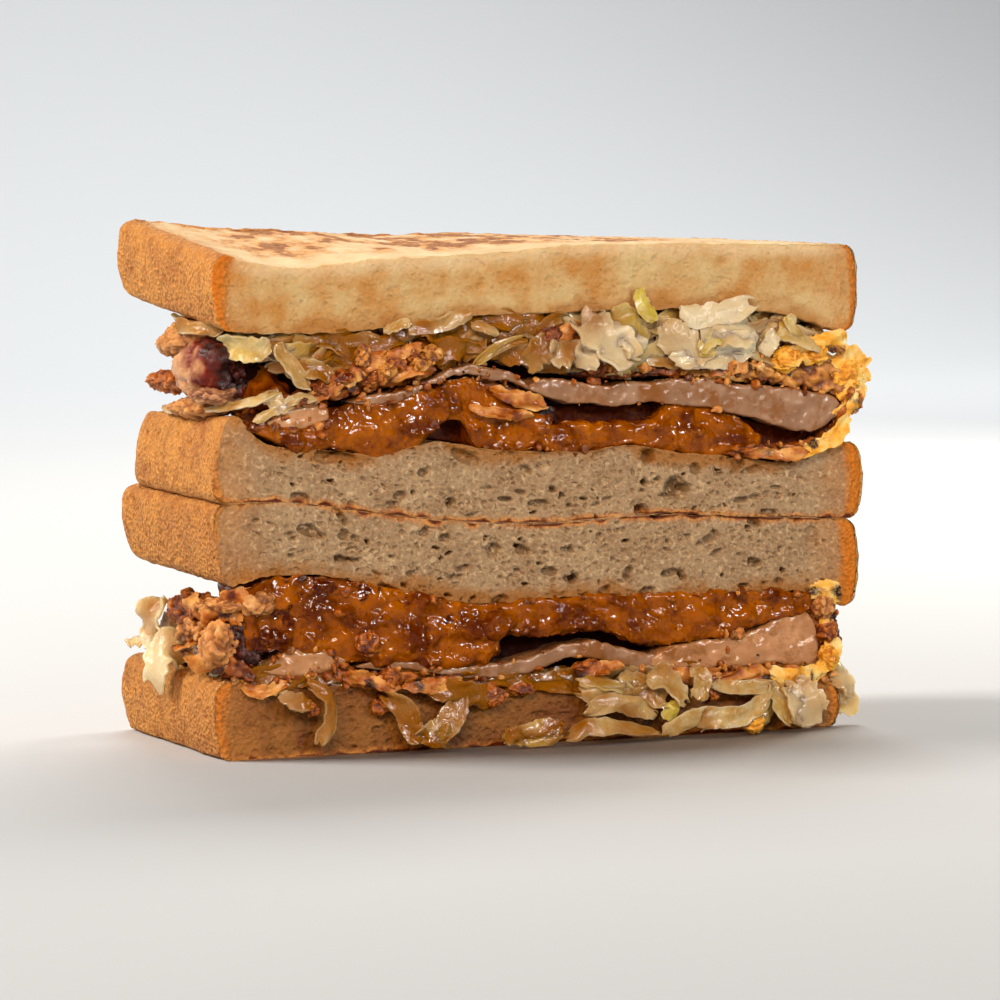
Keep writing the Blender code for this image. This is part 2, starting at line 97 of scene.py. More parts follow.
# The plan of a layer: its ends along X, how far back it goes, and the radii of its back corners.
Plan = namedtuple("Plan", "left right back left_corner right_corner")
LOWER_BREAD_BOTTOM_PLAN = Plan(-59.5, 57.5, 22.0, 2, 8)
LOWER_BREAD_TOP_PLAN = Plan(-60.0, 61.0, 22.5, 3.5, 8)
UPPER_BREAD_BOTTOM_PLAN = Plan(-60.0, 61.5, 22.0, 11, 10)
UPPER_BREAD_TOP_PLAN = Plan(-60.0, 60.5, 23.0, 2, 8)


# Helpers for nodes and colours

def linear(colour):
    """Linear values of an sRGB hex colour."""
    parts = (int(colour[i:i + 2], 16) / 255 for i in (1, 3, 5))
    return (*(p / 12.92 if p <= 0.04045 else ((p + 0.055) / 1.055) ** 2.4 for p in parts), 1)


def per_metre(size):
    """Texture scale whose cells are a size in millimetres across, on coordinates in metres."""
    return 1 / (size * MM)


def add_node(tree, kind, settings=(), links=()):
    """Add a node, set its properties and sockets in turn, and link sockets to its inputs."""
    node = tree.nodes.new("ShaderNode" + kind)
    for key, value in dict(settings).items():
        if isinstance(key, int) or key in node.inputs:
            node.inputs[key].default_value = value
        else:
            setattr(node, key, value)
    for key, socket in dict(links).items():
        tree.links.new(socket, node.inputs[key])
    return node


def new_material(name):
    """An empty node material, its tree, and its object coordinates."""
    material = bpy.data.materials.new(name)
    material.use_nodes = True
    tree = material.node_tree
    tree.nodes.clear()
    place = add_node(tree, "TexCoord").outputs["Object"]
    return material, tree, place


def laid_over(tree, base, coats):
    """Lay coats of colour over a base.

    A coat is a value on the surface, the span of that value over which the coat comes in and how strong
    it then is, and its shade. A coat with no span is as strong as its value says.
    """
    colour = base
    for value, span, shade in coats:
        share = value
        if span:
            start, full, most = span
            share = add_node(tree, "MapRange", {"From Min": start, "From Max": full, "To Max": most},
                             {"Value": value}).outputs[0]
        settings, links = {"data_type": "RGBA", 7: linear(shade)}, {0: share}
        if isinstance(colour, str):
            settings[6] = linear(colour)
        else:
            links[6] = colour
        colour = add_node(tree, "Mix", settings, links).outputs[2]
    return colour


def give_surface(tree, settings, links):
    """End a material with its shader."""
    shader = add_node(tree, "BsdfPrincipled", settings, links)
    add_node(tree, "OutputMaterial", {}, {"Surface": shader.outputs["BSDF"]})


# Helpers for shapes

def chance_at(cell, seed):
    """A number from 0 to 1 for each whole-number cell, the same on every run."""
    spot = (cell[0] * LATTICE_SIDE + cell[1]) * LATTICE_SIDE + cell[2] + seed * 7919
    return LATTICE.take(spot, mode="wrap")


def noise_at(points, size, seed):
    """Smooth noise from -1 to 1 with bumps of about one size in millimetres."""
    spot = points.T / size
    cell = np.floor(spot).astype(np.int64)
    t = spot - cell
    t = t * t * (3 - 2 * t)
    shares = np.stack((1 - t, t))
    total = 0
    for i, j, k in itertools.product((0, 1), repeat=3):
        weight = shares[i, 0] * shares[j, 1] * shares[k, 2]
        total = total + weight * chance_at((cell[0] + i, cell[1] + j, cell[2] + k), seed)
    return 2 * total - 1


def rough_noise(points, size, seed, layers=3):
    """Noise from about -1 to 1 with finer and finer detail."""
    total = 0
    for layer in range(layers):
        total = total + noise_at(points, size / 2 ** layer, seed + layer) / 2 ** layer
    return total / 1.6


def ridges(points, size, seed, layers=3):
    """Noise from 0 to 1 that folds into sharp ridges."""
    total = 0
    for layer in range(layers):
        total = total + (1 - np.abs(noise_at(points, size / 2 ** layer, seed + layer)) * 1.6) / 2 ** layer
    return np.clip(total / 1.75, 0, 1)


def warped(points, size, amount, seed):
    """Points pushed about by noise, so that patterns on them lose their even shapes."""
    push = np.stack([noise_at(points, size, seed + axis) for axis in range(3)], axis=-1)
    return points + push * amount


def neighbours(points, size, seed):
    """For each step to a nearby cell of space: the cell, and how far its own scattered point is."""
    spot = points.T / size
    cell = np.floor(spot).astype(np.int64)
    for step in itertools.product((-1, 0, 1), repeat=3):
        near = cell + np.array(step)[:, None]
        gap = sum((spot[axis] - near[axis] - chance_at(near, seed + axis)) ** 2 for axis in range(3))
        yield near, gap


def pores(points, size, share, seed, least=0.15, spread=0.45):
    """Depth below the surface, in shares of a size, of round bubbles scattered in space."""
    depth = np.zeros(len(points))
    for near, gap in neighbours(points, size, seed):
        radius = least + spread * chance_at(near, seed + 3) ** 2
        inside = radius ** 2 - gap
        kept = (chance_at(near, seed + 4) < share) & (inside > 0)
        depth = np.maximum(depth, np.where(kept, np.sqrt(np.maximum(inside, 0)), 0))
    return depth


def cells(points, size, seed):
    """Each point's share of the way from its cell's wall to its middle, and its cell's own chance."""
    first = np.full(len(points), 9.0)
    second = np.full(len(points), 9.0)
    chance = np.zeros(len(points))
    for near, gap in neighbours(points, size, seed):
        closest = gap < first
        second = np.where(closest, first, np.minimum(second, gap))
        first = np.where(closest, gap, first)
        chance = np.where(closest, chance_at(near, seed + 5), chance)
    return np.sqrt(second) - np.sqrt(first), chance


def smooth_line(knots, x):
    """Height at x of a smooth line through (x, height) knots, level past its ends."""
    across, up = np.array(knots, float).T
    slopes = np.gradient(up, across)
    slopes[1:-1] = (up[2:] - up[:-2]) / (across[2:] - across[:-2])
    x = np.clip(x, across[0], across[-1])
    i = np.clip(np.searchsorted(across, x, side="right") - 1, 0, len(across) - 2)
    span = across[i + 1] - across[i]
    t = (x - across[i]) / span
    return ((2 * t ** 3 - 3 * t ** 2 + 1) * up[i] + (t ** 3 - 2 * t ** 2 + t) * span * slopes[i]
            + (3 * t ** 2 - 2 * t ** 3) * up[i + 1] + (t ** 3 - t ** 2) * span * slopes[i + 1])


def height(level, x, y):
    """Height of a level over points of the plan."""
    back_share = np.clip((y - CUT_Y) / (BACK_Y - CUT_Y), 0, 1)
    right_share = np.clip((x - LEFT_X) / (RIGHT_X - LEFT_X), 0, 1)
    rise = level.rise_left + (level.rise_right - level.rise_left) * right_share
    if level is TOP:
        rise = smooth_line(TOP_RISE, x)
    return smooth_line(level.profile, x) + rise * back_share


def round_corners(x, y, plan):
    """Move points of a square plan so that the plan's back corners are round."""
    left = x < 0
    radius = np.where(left, plan.left_corner, plan.right_corner)
    side = np.where(left, -1, 1)
    edge = np.where(left, plan.left, plan.right)
    across = (side * (x - edge) + radius) / radius
    along = (y - plan.back + radius) / radius
    turned = (across > 0) & (along > 0)
    round_across = across * np.sqrt(np.maximum(1 - along ** 2 / 2, 0))
    round_along = along * np.sqrt(np.maximum(1 - across ** 2 / 2, 0))
    return (np.where(turned, edge + side * radius * (round_across - 1), x),
            np.where(turned, plan.back + radius * (round_along - 1), y))


def soft_step(value, low, high):
    """Rise smoothly from 0 at one value to 1 at another."""
    t = np.clip((value - low) / (high - low), 0, 1)
    return t * t * (3 - 2 * t)


def rows(*columns):
    """An array with a row for each point, from its columns."""
    return np.stack(columns, axis=-1)


def points_of(piece):
    """A mesh's points as an array."""
    points = np.empty(len(piece.data.vertices) * 3)
    piece.data.vertices.foreach_get("co", points)
    return points.reshape(-1, 3)


def set_points(piece, points):
    """Give a mesh its points from an array."""
    piece.data.vertices.foreach_set("co", np.ascontiguousarray(points, dtype=np.float32).ravel())
    piece.data.update()


def set_attribute(piece, name, values):
    """Store a number for each point under a name that a material reads."""
    store = piece.data.attributes.new(name, "FLOAT", "POINT")
    store.data.foreach_set("value", np.ascontiguousarray(np.clip(values, 0, 1), dtype=np.float32))


def select_in_mesh(piece, kind, chosen):
    """Select only the chosen edges or faces of a mesh."""
    for elements in (piece.data.vertices, piece.data.edges, piece.data.polygons):
        elements.foreach_set("select", np.zeros(len(elements), dtype=bool))
    getattr(piece.data, kind).foreach_set("select", chosen)


def crags(points, seed, size):
    """Height from 0 to about 1 of knobbly batter: round lumps and crumpled ridges, creases between."""
    loose = warped(points, 2.4, 1.1, seed)
    lumps = pores(loose, size, 1.0, seed + 7, 0.45, 0.35)
    crumple = ridges(loose * (1, 1, 1.3), size * 0.7, seed + 17, 2) ** 2
    return 0.55 * lumps + 0.4 * crumple + 0.14 * rough_noise(points, 0.9, seed + 27)


def push_out(piece, amounts):
    """Move each point of a mesh along its normal."""
    normals = np.empty(len(piece.data.vertices) * 3)
    piece.data.vertices.foreach_get("normal", normals)
    set_points(piece, points_of(piece) + normals.reshape(-1, 3) * amounts[:, None])


def rounds_of(length, spacing):
    """Numbers of cuts that divide a length at a spacing, none of them over a hundred."""
    count = max(round(length / spacing), 2)
    if count <= 100:
        return (count - 1,)
    return (1, -(-count // 2) - 1)


def cut_block(name, cuts):
    """A cube from -1 to 1 with its edges along X, Y and Z subdivided by these numbers of cuts."""
    bpy.ops.object.select_all(action="DESELECT")
    bpy.ops.mesh.primitive_cube_add(size=2)
    piece = bpy.context.object
    piece.name = name
    piece.data.name = name
    for axis, rounds in enumerate(cuts):
        for count in rounds:
            points = points_of(piece)
            ends = np.empty(len(piece.data.edges) * 2, dtype=np.int32)
            piece.data.edges.foreach_get("vertices", ends)
            ends = ends.reshape(-1, 2)
            along = np.abs(points[ends[:, 0], axis] - points[ends[:, 1], axis]) > 1e-6
            select_in_mesh(piece, "edges", along)
            bpy.ops.object.mode_set(mode="EDIT")
            bpy.ops.mesh.select_mode(type="EDGE")
            bpy.ops.mesh.subdivide(number_cuts=count)
            bpy.ops.object.mode_set(mode="OBJECT")
    return piece


def finer_front(piece):
    """Subdivide the faces of a block's front once more."""
    normals = np.empty(len(piece.data.polygons) * 3)
    piece.data.polygons.foreach_get("normal", normals)
    select_in_mesh(piece, "polygons", normals.reshape(-1, 3)[:, 1] < -ALMOST_ONE)
    bpy.ops.object.mode_set(mode="EDIT")
    bpy.ops.mesh.select_mode(type="FACE")
    bpy.ops.mesh.subdivide(number_cuts=1)
    bpy.ops.object.mode_set(mode="OBJECT")


def join_parts(parts, name):
    """Join meshes into the first of them."""
    bpy.ops.object.select_all(action="DESELECT")
    for part in parts:
        part.select_set(True)
    bpy.context.view_layer.objects.active = parts[0]
    bpy.ops.object.join()
    parts[0].name = name
    parts[0].data.name = name


def finish_piece(piece, points, material, slot, nodes):
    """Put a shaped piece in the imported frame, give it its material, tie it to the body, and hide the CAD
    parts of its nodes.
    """
    set_points(piece, (points + MODEL_SHIFT) * MM)
    piece.data.materials.clear()
    piece.data.materials.append(material)
    bpy.ops.object.select_all(action="DESELECT")
    piece.select_set(True)
    bpy.context.view_layer.objects.active = piece
    bpy.ops.object.shade_smooth()
    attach(piece, "root")
    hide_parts(*nodes)
    return piece


# Toast

def toasted_bread(name, crumb, crumb_shade, painted_shade, soak, fine_painted_shade, fine_painted_highlight, painted_highlight_colour):
    """White shokupan-style bread, baked in a tin and toasted on a plate: a soft open crumb that light
    enters, a thin tan crust with fine pits, and browned patches where the plate touched. The crumb's
    hollows and the crust's pits and creases take painted shade, the thin walls of the crumb a painted
    highlight, and the crust at the cut a painted glow of light coming through it."""
    material, tree, place = new_material(name)
    crust, depth, toasted, stain, painted_glow, wall = (
        add_node(tree, "Attribute", {"attribute_name": key}).outputs["Fac"]
        for key in ("crust", "painted_shade", "toasted", "stain", "painted_glow", "wall"))
    # Wrinkles of the crust run up and down.
    upright = add_node(tree, "Mapping", {"Scale": (1, 1, 0.6)}, {"Vector": place}).outputs["Vector"]
    # Patches of crumb are 7 mm, grain is 0.45 mm, the walls between cells are 0.9 mm apart, the crust
    # is mottled over 6 mm with wrinkles 2.2 mm apart, and it browns in spots of 1.3 mm.
    patches, grain, tangle, mottle, wrinkles, burn = (
        add_node(tree, "TexNoise", {"Scale": per_metre(size), "Detail": detail, "Roughness": rough,
                                    "Distortion": twist}, {"Vector": vector}).outputs["Fac"]
        for size, detail, rough, twist, vector in (
            (7, 3, 0.5, 0, place), (0.45, 2, 0.6, 0, place), (0.9, 4, 0.5, 0.5, place),
            (6, 4, 0.6, 0, place), (2.2, 4, 0.5, 0.8, upright), (1.3, 4, 0.7, 0, place)))
    # Crumb cells finer than the mesh are 0.8 mm across, and the crust's pits are about as far apart.
    cells, dimples = (
        add_node(tree, "TexVoronoi", {"Scale": per_metre(size)}, {"Vector": place}).outputs["Distance"]
        for size in (0.8, 0.75))
    # Fine cells add painted shade to the mesh's own hollows, and fine threads add a painted highlight to its
    # own pale walls.
    shares = []
    for value, start, full, most, own in ((cells, 0.5, 0.12, fine_painted_shade, depth),
                                          (tangle, 0.54, 0.66, fine_painted_highlight, wall)):
        fine = add_node(tree, "MapRange", {"From Min": start, "From Max": full, "To Max": most},
                        {"Value": value}).outputs[0]
        shares.append(add_node(tree, "Math", {"operation": "MAXIMUM"}, {0: fine, 1: own}).outputs[0])
    painted_shade_share, painted_highlight_share = shares
    # The crumb's hollows take painted shade and its thin walls a painted highlight; its darker patches and
    # its soaked parts are its own colour.
    crumb_colour = laid_over(tree, crumb, (
        (patches, (0.35, 0.65, 1), crumb_shade), (painted_shade_share, None, painted_shade),
        (painted_highlight_share, None, painted_highlight_colour), (stain, None, soak)))
    # The crust's wrinkles, pits and deepest spots take painted shade; its mottle and pale flecks are its own
    # colour.
    crust_colour = laid_over(tree, "#C98B42", (
        (mottle, (0.4, 0.68, 1), "#AE743E"), (grain, (0.5, 0.66, 0.7), "#E6AC62"),
        (wrinkles, (0.45, 0.34, 0.55), "#925828"), (dimples, (0.3, 0.1, 0.6), "#945628"),
        (depth, None, "#8A4C20")))
    toast_colour = laid_over(tree, "#D8984A", ((burn, (0.46, 0.58, 1), "#A05A20"),))
    colour = add_node(tree, "Mix", {"data_type": "RGBA"},
                      {0: crust, 6: crumb_colour, 7: crust_colour}).outputs[2]
    # Painted light: an orange glow where light comes through the crust at the cut's ends.
    colour = laid_over(tree, colour, ((painted_glow, None, "#D8821A"),))
    # Toasting browns the high spots first, and scorches the most toasted ones.
    colour = add_node(tree, "Mix", {"data_type": "RGBA"},
                      {0: toasted, 6: colour, 7: toast_colour}).outputs[2]
    colour = laid_over(tree, colour, ((toasted, (0.8, 1.0, 1), "#5A2408"),))
    crumb_bumps = add_node(tree, "Math", {"operation": "MULTIPLY_ADD", 1: 0.6},
                           {0: cells, 2: grain}).outputs[0]
    crumb_bumps = add_node(tree, "Math", {"operation": "MULTIPLY", 1: 0.5}, {0: crumb_bumps}).outputs[0]
    crust_bumps = wrinkles
    for value, weight in ((dimples, 1.5), (grain, 0.4)):
        crust_bumps = add_node(tree, "Math", {"operation": "MULTIPLY_ADD", 1: weight},
                               {0: value, 2: crust_bumps}).outputs[0]
    bumps = add_node(tree, "Mix", {}, {0: crust, 2: crumb_bumps, 3: crust_bumps}).outputs[0]
    bump = add_node(tree, "Bump", {"Strength": 0.9, "Distance": 0.55 * MM}, {"Height": bumps})
    give_surface(tree, {"Roughness": 0.75, "IOR": 1.4, "Specular IOR Level": 0.35, "Subsurface Weight": 0.35,
                        "Subsurface Radius": (1.0, 0.7, 0.4), "Subsurface Scale": 1.6 * MM},
                 {"Base Color": colour, "Normal": bump.outputs["Normal"]})
    return material


# A slice's sauce side is 1 above, -1 below; soaked is how much its crumb takes up there.
# Its lean is how far its foot and its head are set in at the left end.
# Its crusts are how far the left and the right crust reach in at the cut, and its glow how strong the
# painted glow of light coming through each of them is there.
Bread = namedtuple("Bread", "name plan under over seed openness sauce_side soaked lean crusts glow")
BREADS = (
    Bread("lower_bread_bottom", LOWER_BREAD_BOTTOM_PLAN, FLOOR, LOWER_BREAD_TOP,
          10, 0.3, 1, 0.3, (0.6, 0), (3.0, 2.4), (0.6, 0.8)),
    Bread("lower_bread_top", LOWER_BREAD_TOP_PLAN, LOWER_SAUCE_TOP, SEAM,
          20, 1.0, -1, 0.8, (1.8, 0), (2.0, 4.6), (0.15, 1.0)),
    Bread("upper_bread_bottom", UPPER_BREAD_BOTTOM_PLAN, SEAM, UPPER_BREAD_TOP,
          30, 1.0, 1, 0.8, (0, 2.4), (2.2, 4.2), (0.15, 1.0)),
    Bread("upper_bread_top", UPPER_BREAD_TOP_PLAN, UPPER_CABBAGE_TOP, TOP,
          40, 0.15, -1, 0.75, (1.4, 0.5), (4.0, 2.4), (0.95, 0.8)),
)
# Colours of the crumb, of its darker patches, of the painted shade in its hollows and of its soaked
# parts, how strong the painted shade of its fine dots and the painted highlight of its fine threads
# are, and the colour of that highlight.
GREY_CRUMB = ("#A89274", "#947A5C", "#66481E", "#9A6414", 0.22, 0.5, "#E4D0AE")
# The top slice's crumb is a lighter, yellower copy: painted light for the extra light that the top slice
# gets.
PAINTED_LIGHT_CRUMB = ("#CDBA8A", "#BC8A42", "#A8701E", "#A8722C", 0.05, 0.14, "#EADCBA")
# The bottom slice's crumb is a darker, warmer copy: painted shade and painted warm bounce light.
PAINTED_SHADE_CRUMB = ("#9A6A2E", "#7C4C1C", "#4A260A", "#6E3E10", 0.2, 0.05, "#AE8448")
# Cuts of a slice's block along X, Y and Z, in turn.
BREAD_CUTS = ((12, 19), (79,), (33,))
# How far the crust swells out, the radius of its rims, and how far in the crumb follows it.
CRUST_BULGE = 1.1
RIM_RADIUS = 2.0
SWELL_REACH = 9.0

# A spot where the crumb is torn out: its middle along the cut and how far it reaches.
Tear = namedtuple("Tear", "name x z reach")
TEARS = (
    Tear("upper_bread_bottom", 25.0, 42.6, 2.6), Tear("upper_bread_bottom", 18.6, 39.0, 1.5),
    Tear("upper_bread_bottom", 20.0, 48.2, 1.6), Tear("upper_bread_bottom", 19.2, 44.0, 0.9),
    Tear("lower_bread_top", 6.0, 28.0, 0.9), Tear("lower_bread_top", 26.5, 27.2, 0.9),
)


def crumb_relief(place, near_end, bread):
    """How far the crumb lies behind the cut, how much painted shade each point's hollow takes, and how
    much of it is the thin wall between two hollows, which takes a painted highlight.

    Hollows are shallow ovals of 1 to 4 mm among cells of about 1 mm. Near the crust the crumb is dense.
    """
    seed = bread.seed
    spread = near_end + 3 * noise_at(place, 5, seed + 14)
    openness = bread.openness * (0.12 + 0.88 * soft_step(spread, 4, 14))
    drawn = warped(place, 9, 3.0, seed + 15) * (0.75, 1, 1.15)
    drawn = warped(drawn, 1.6, 0.5, seed + 20)
    small_ovals = pores(drawn, 3.0, 0.85, seed + 30, 0.2, 0.26)
    large_ovals = pores(drawn, 5.0, 0.25, seed + 50, 0.2, 0.25)
    oval = np.maximum(small_ovals, 1.5 * large_ovals)
    pocket = soft_step(oval, 0.02, 0.3)
    lip = soft_step(oval, 0.0, 0.05) * (1 - soft_step(oval, 0.06, 0.18))
    squeezed = warped(place, 1.0, 0.35, seed + 40) * (0.85, 1, 1.1)
    small_wall, small_chance = cells(squeezed, 0.95, seed + 41)
    tiny = soft_step(small_chance, 0.35, 0.9) * soft_step(small_wall, 0.05, 0.4)
    holes = (small_chance > 0.983) * soft_step(small_wall, 0.08, 0.3)
    torn = rough_noise(place, 0.7, seed + 60, 2)
    dip = openness * (pocket + 0.8 * oval + 0.4 * tiny + 0.9 * holes) + 0.15 * tiny + 0.16 * torn
    depth = openness * (0.42 * pocket + 0.3 * oval + 0.8 * holes) + (0.08 + 0.18 * openness) * tiny
    small_rims = (0.06 + 0.14 * openness) * (1 - soft_step(small_wall, 0.02, 0.2)) * (1 - pocket)
    wall = openness * 0.35 * lip + small_rims
    for tear in TEARS:
        if tear.name == bread.name:
            gap = np.hypot(place[:, 0] - tear.x, place[:, 2] - tear.z)
            gap = gap + 0.5 * rough_noise(place, 1.2, seed + 66)
            torn_out = 1 - soft_step(gap, 0.3 * tear.reach, tear.reach)
            dip, depth, wall = dip + 2.4 * torn_out, depth + 0.9 * torn_out, wall * (1 - torn_out)
    return dip + 0.5 * noise_at(place, 14, seed + 65), depth, wall


def crust_relief(rim, seed):
    """How far points on the crust stand out, and how much painted shade their pits and creases take."""
    # Wrinkles of the crust run up and down, so their noise is stretched along Z.
    upright = rim * (1, 1, 0.4)
    folds = ridges(warped(upright, 3, 1.5, seed), 5, seed + 5, 1) ** 14
    wrinkles = 0.35 * noise_at(upright, 8, seed) - 0.5 * folds
    wrinkles += 0.2 * rough_noise(rim, 1.3, seed + 11) + 0.25 * rough_noise(rim, 3.5, seed + 13)
    pits = pores(warped(rim, 1.2, 0.5, seed + 9), 1.3, 0.5, seed + 10, 0.1, 0.4)
    return wrinkles - 0.9 * pits, pits * 1.2 + (0.2 - 0.8 * wrinkles) * 0.7


def crust_share(bread, place, x, near_end, near_rim):
    """How much each point is of crust, without and with the browning of the crumb next to it."""
    depth = np.where(x < 0, *bread.crusts)
    uneven = near_rim + 0.7 * rough_noise(place, 3.0, bread.seed + 70)
    crust = 1 - soft_step(uneven / depth, 0.35, 1.0)
    browning = 0.4 * (1 - soft_step(near_end + 2 * noise_at(place, 4, bread.seed + 71), 3, 12))
    return crust, np.clip(crust + browning, 0, 1)


def sauce_stain(bread, place, gap):
    """How much sauce the crumb has taken up, by its gap from the side that faces the sauce."""
    gap = gap + 2.2 * noise_at(place, 7, bread.seed + 76) + 0.9 * noise_at(place, 1.6, bread.seed + 77)
    return (1 - soft_step(gap, 0.0, 3.0)) * bread.soaked


def slice_place(bread, u, v, w):
    """Where a slice's points lie before its crust and crumb take their relief, and how high its lower
    and upper faces are there."""
    plan = bread.plan
    x = plan.left + (plan.right - plan.left) * (u + 1) / 2
    # Rows of points are closer together near the cut.
    y = CUT_Y + (plan.back - CUT_Y) * ((v + 1) / 2) ** 1.3
    x, y = round_corners(x, y, plan)
    share_up = (w + 1) / 2
    foot, head = bread.lean
    x = x + (foot + (head - foot) * share_up) * np.clip(1 - (x - plan.left) / 30, 0, 1)
    gap_under, gap_over = (0 if level in (FLOOR, SEAM) else GAP / 2 for level in (bread.under, bread.over))
    low = height(bread.under, x, y) + gap_under
    high = height(bread.over, x, y) - gap_over
    z = low + (high - low) * share_up
    ragged = 0.3 * rough_noise(rows(x, y, z), 2.0, bread.seed + 90)
    z = z + np.where((np.abs(w) > ALMOST_ONE) & (z > 1), ragged, 0)
    return x, y, z, low, high


def crust_swell(bread, w, z, low, high):
    """How far the crust swells between the slice's flat faces, where it turns round into them."""
    share_up = (w + 1) / 2
    over_floor = (z - low) * (3 if bread.under is FLOOR else 1)
    past = np.clip(1 - np.minimum(over_floor, high - z) / RIM_RADIUS, 0, 1)
    bulge = CRUST_BULGE * (4 * share_up * (1 - share_up) - 1)
    return bulge + 0.8 * RIM_RADIUS * (np.sqrt(1 - past ** 2) - 1)


def bread_slice(bread, material):
    """A half slice of toast: a pitted crust that swells round three sides, and an open crumb at the cut."""
    piece = cut_block(bread.name, BREAD_CUTS)
    finer_front(piece)
    u, v, w = points_of(piece).T
    plan, seed = bread.plan, bread.seed
    x, y, z, low, high = slice_place(bread, u, v, w)
    place = rows(x, y, z)
    end = np.where(np.abs(u) > ALMOST_ONE, np.sign(u), 0)
    back = (v > ALMOST_ONE).astype(float)
    on_rim = (end != 0) | (back > 0)
    on_cut = (v < -ALMOST_ONE) & (np.abs(w) < ALMOST_ONE)
    flat = (np.abs(w) > ALMOST_ONE) & ~on_rim
    push, painted_shade, wall = np.zeros((3, len(x)))
    push[on_rim], rim_shade = crust_relief(place[on_rim], seed)
    swell = crust_swell(bread, w, z, low, high)
    near_left, near_right, near_back = x - plan.left, plan.right - x, plan.back - y
    follow_left, follow_right, follow_back = (np.clip(1 - near / SWELL_REACH, 0, 1)
                                              for near in (near_left, near_right, near_back))
    x = x + swell * (follow_right - follow_left) + np.where(on_rim, end * push, 0)
    y = y + swell * follow_back + np.where(on_rim, back * push, 0)
    near_end = np.minimum(near_left, near_right)
    near_rim = np.minimum(near_end, near_back)
    dip, painted_shade[on_cut], wall[on_cut] = crumb_relief(place[on_cut], near_end[on_cut], bread)
    # The crust's pits and creases take painted shade.
    painted_shade[on_rim] = rim_shade
    soft = soft_step(near_rim, 0.8, 3.5)[on_cut]
    y[on_cut] += dip * (0.25 + 0.75 * soft) + 0.9 * np.clip(1 - near_end[on_cut] / 1.4, 0, 1) ** 2
    bare_crust, crust = crust_share(bread, place, x, near_end, near_rim)
    edge_gap = np.where(w > 0, high - z, z - low) + 0.7 * noise_at(place, 2.2, seed + 75)
    away_from_sauce = np.where(w > 0, 1, -1) != bread.sauce_side
    browned = (1 - soft_step(edge_gap, 0.0, 1.3)) * away_from_sauce * (bread.over is not TOP)
    # The top slice takes the pale wall colour, a painted highlight, on its flat faces and just under its
    # upper face on the cut.
    if bread.over is TOP:
        painted_top_highlight = 1 - soft_step(high - z + noise_at(place, 3, seed + 78), 0.4, 3.4)
        wall = np.where(flat, 0.4, wall + on_cut * 0.5 * painted_top_highlight)
    toasted = np.where(flat, toasting(bread, place) * 0.92, np.where(on_cut, browned, 0))
    stain = sauce_stain(bread, place, z - low if bread.sauce_side < 0 else high - z)
    # The crust at the cut takes a painted glow of light coming through it, as strong as the slice's glow.
    painted_glow = np.where(on_cut, bare_crust, 0) * np.where(x < 0, *bread.glow)
    for name, values in (("crust", np.where(on_rim, 1, crust)), ("painted_glow", painted_glow), ("wall", wall),
                         ("painted_shade", painted_shade), ("toasted", toasted), ("stain", stain)):
        set_attribute(piece, name, values)
    return finish_piece(piece, rows(x, y, z), material, "toast", [bread.name])


def toasting(bread, place):
    """How browned the flat faces of a slice are: the topmost one is pale at its left end and its cut."""
    patches = noise_at(place, 9, bread.seed + 80) + 0.6 * noise_at(place, 3, bread.seed + 81)
    if bread.over is not TOP:
        return soft_step(patches, -0.2, 0.5)
    x, y, _ = place.T
    past_cut = soft_step(y + 2.5 * noise_at(place, 6, 82), -22, -12)
    middle = past_cut * soft_step(x, -56, -42) * (1 - soft_step(x, 26, 50))
    streaks = rough_noise(place * (0.7, 0.35, 1), 2.0, 83)
    return middle * soft_step(0.5 * patches + 1.3 * streaks, -0.65, 0.35)


def make_breads():
    """The four half slices."""
    grey_crumb = toasted_bread("toasted_white_bread", *GREY_CRUMB)
    crumbs = {"upper_bread_top": toasted_bread("white_bread_in_painted_light", *PAINTED_LIGHT_CRUMB),
              "lower_bread_bottom": toasted_bread("white_bread_in_painted_shade", *PAINTED_SHADE_CRUMB)}
    for bread in BREADS:
        bread_slice(bread, crumbs.get(bread.name, grey_crumb))


# Thin strips, for cabbage and for flakes of batter

# A shred: its path, its width, the way that its face looks, how yellow-green and how soaked it is,
# and its thickness.
Shred = namedtuple("Shred", "path width face green soaked thick", defaults=((0, -1, 0.2), 0.0, 0.1, 0.6))
# Stations along a strip and ribs across it: shreds that show at the cut are finer than the rest.
SHOWN_GRID = (26, 9)
HEAP_GRID = (16, 5)
SHARP_ANGLE = math.radians(50)


def path_points(path, shares):
    """Points at shares of the way along a smooth path, by its corners."""
    corners = np.array(path, float)
    spot = shares * (len(corners) - 1)
    index = np.minimum(spot.astype(int), len(corners) - 2)
    t = (spot - index)[:, None]
    before, start, end, after = (corners[np.clip(index + step, 0, len(corners) - 1)]
                                 for step in (-1, 0, 1, 2))
    return 0.5 * (2 * start + (end - before) * t + (2 * before - 5 * start + 4 * end - after) * t ** 2
                  + (3 * start - before - 3 * end + after) * t ** 3)


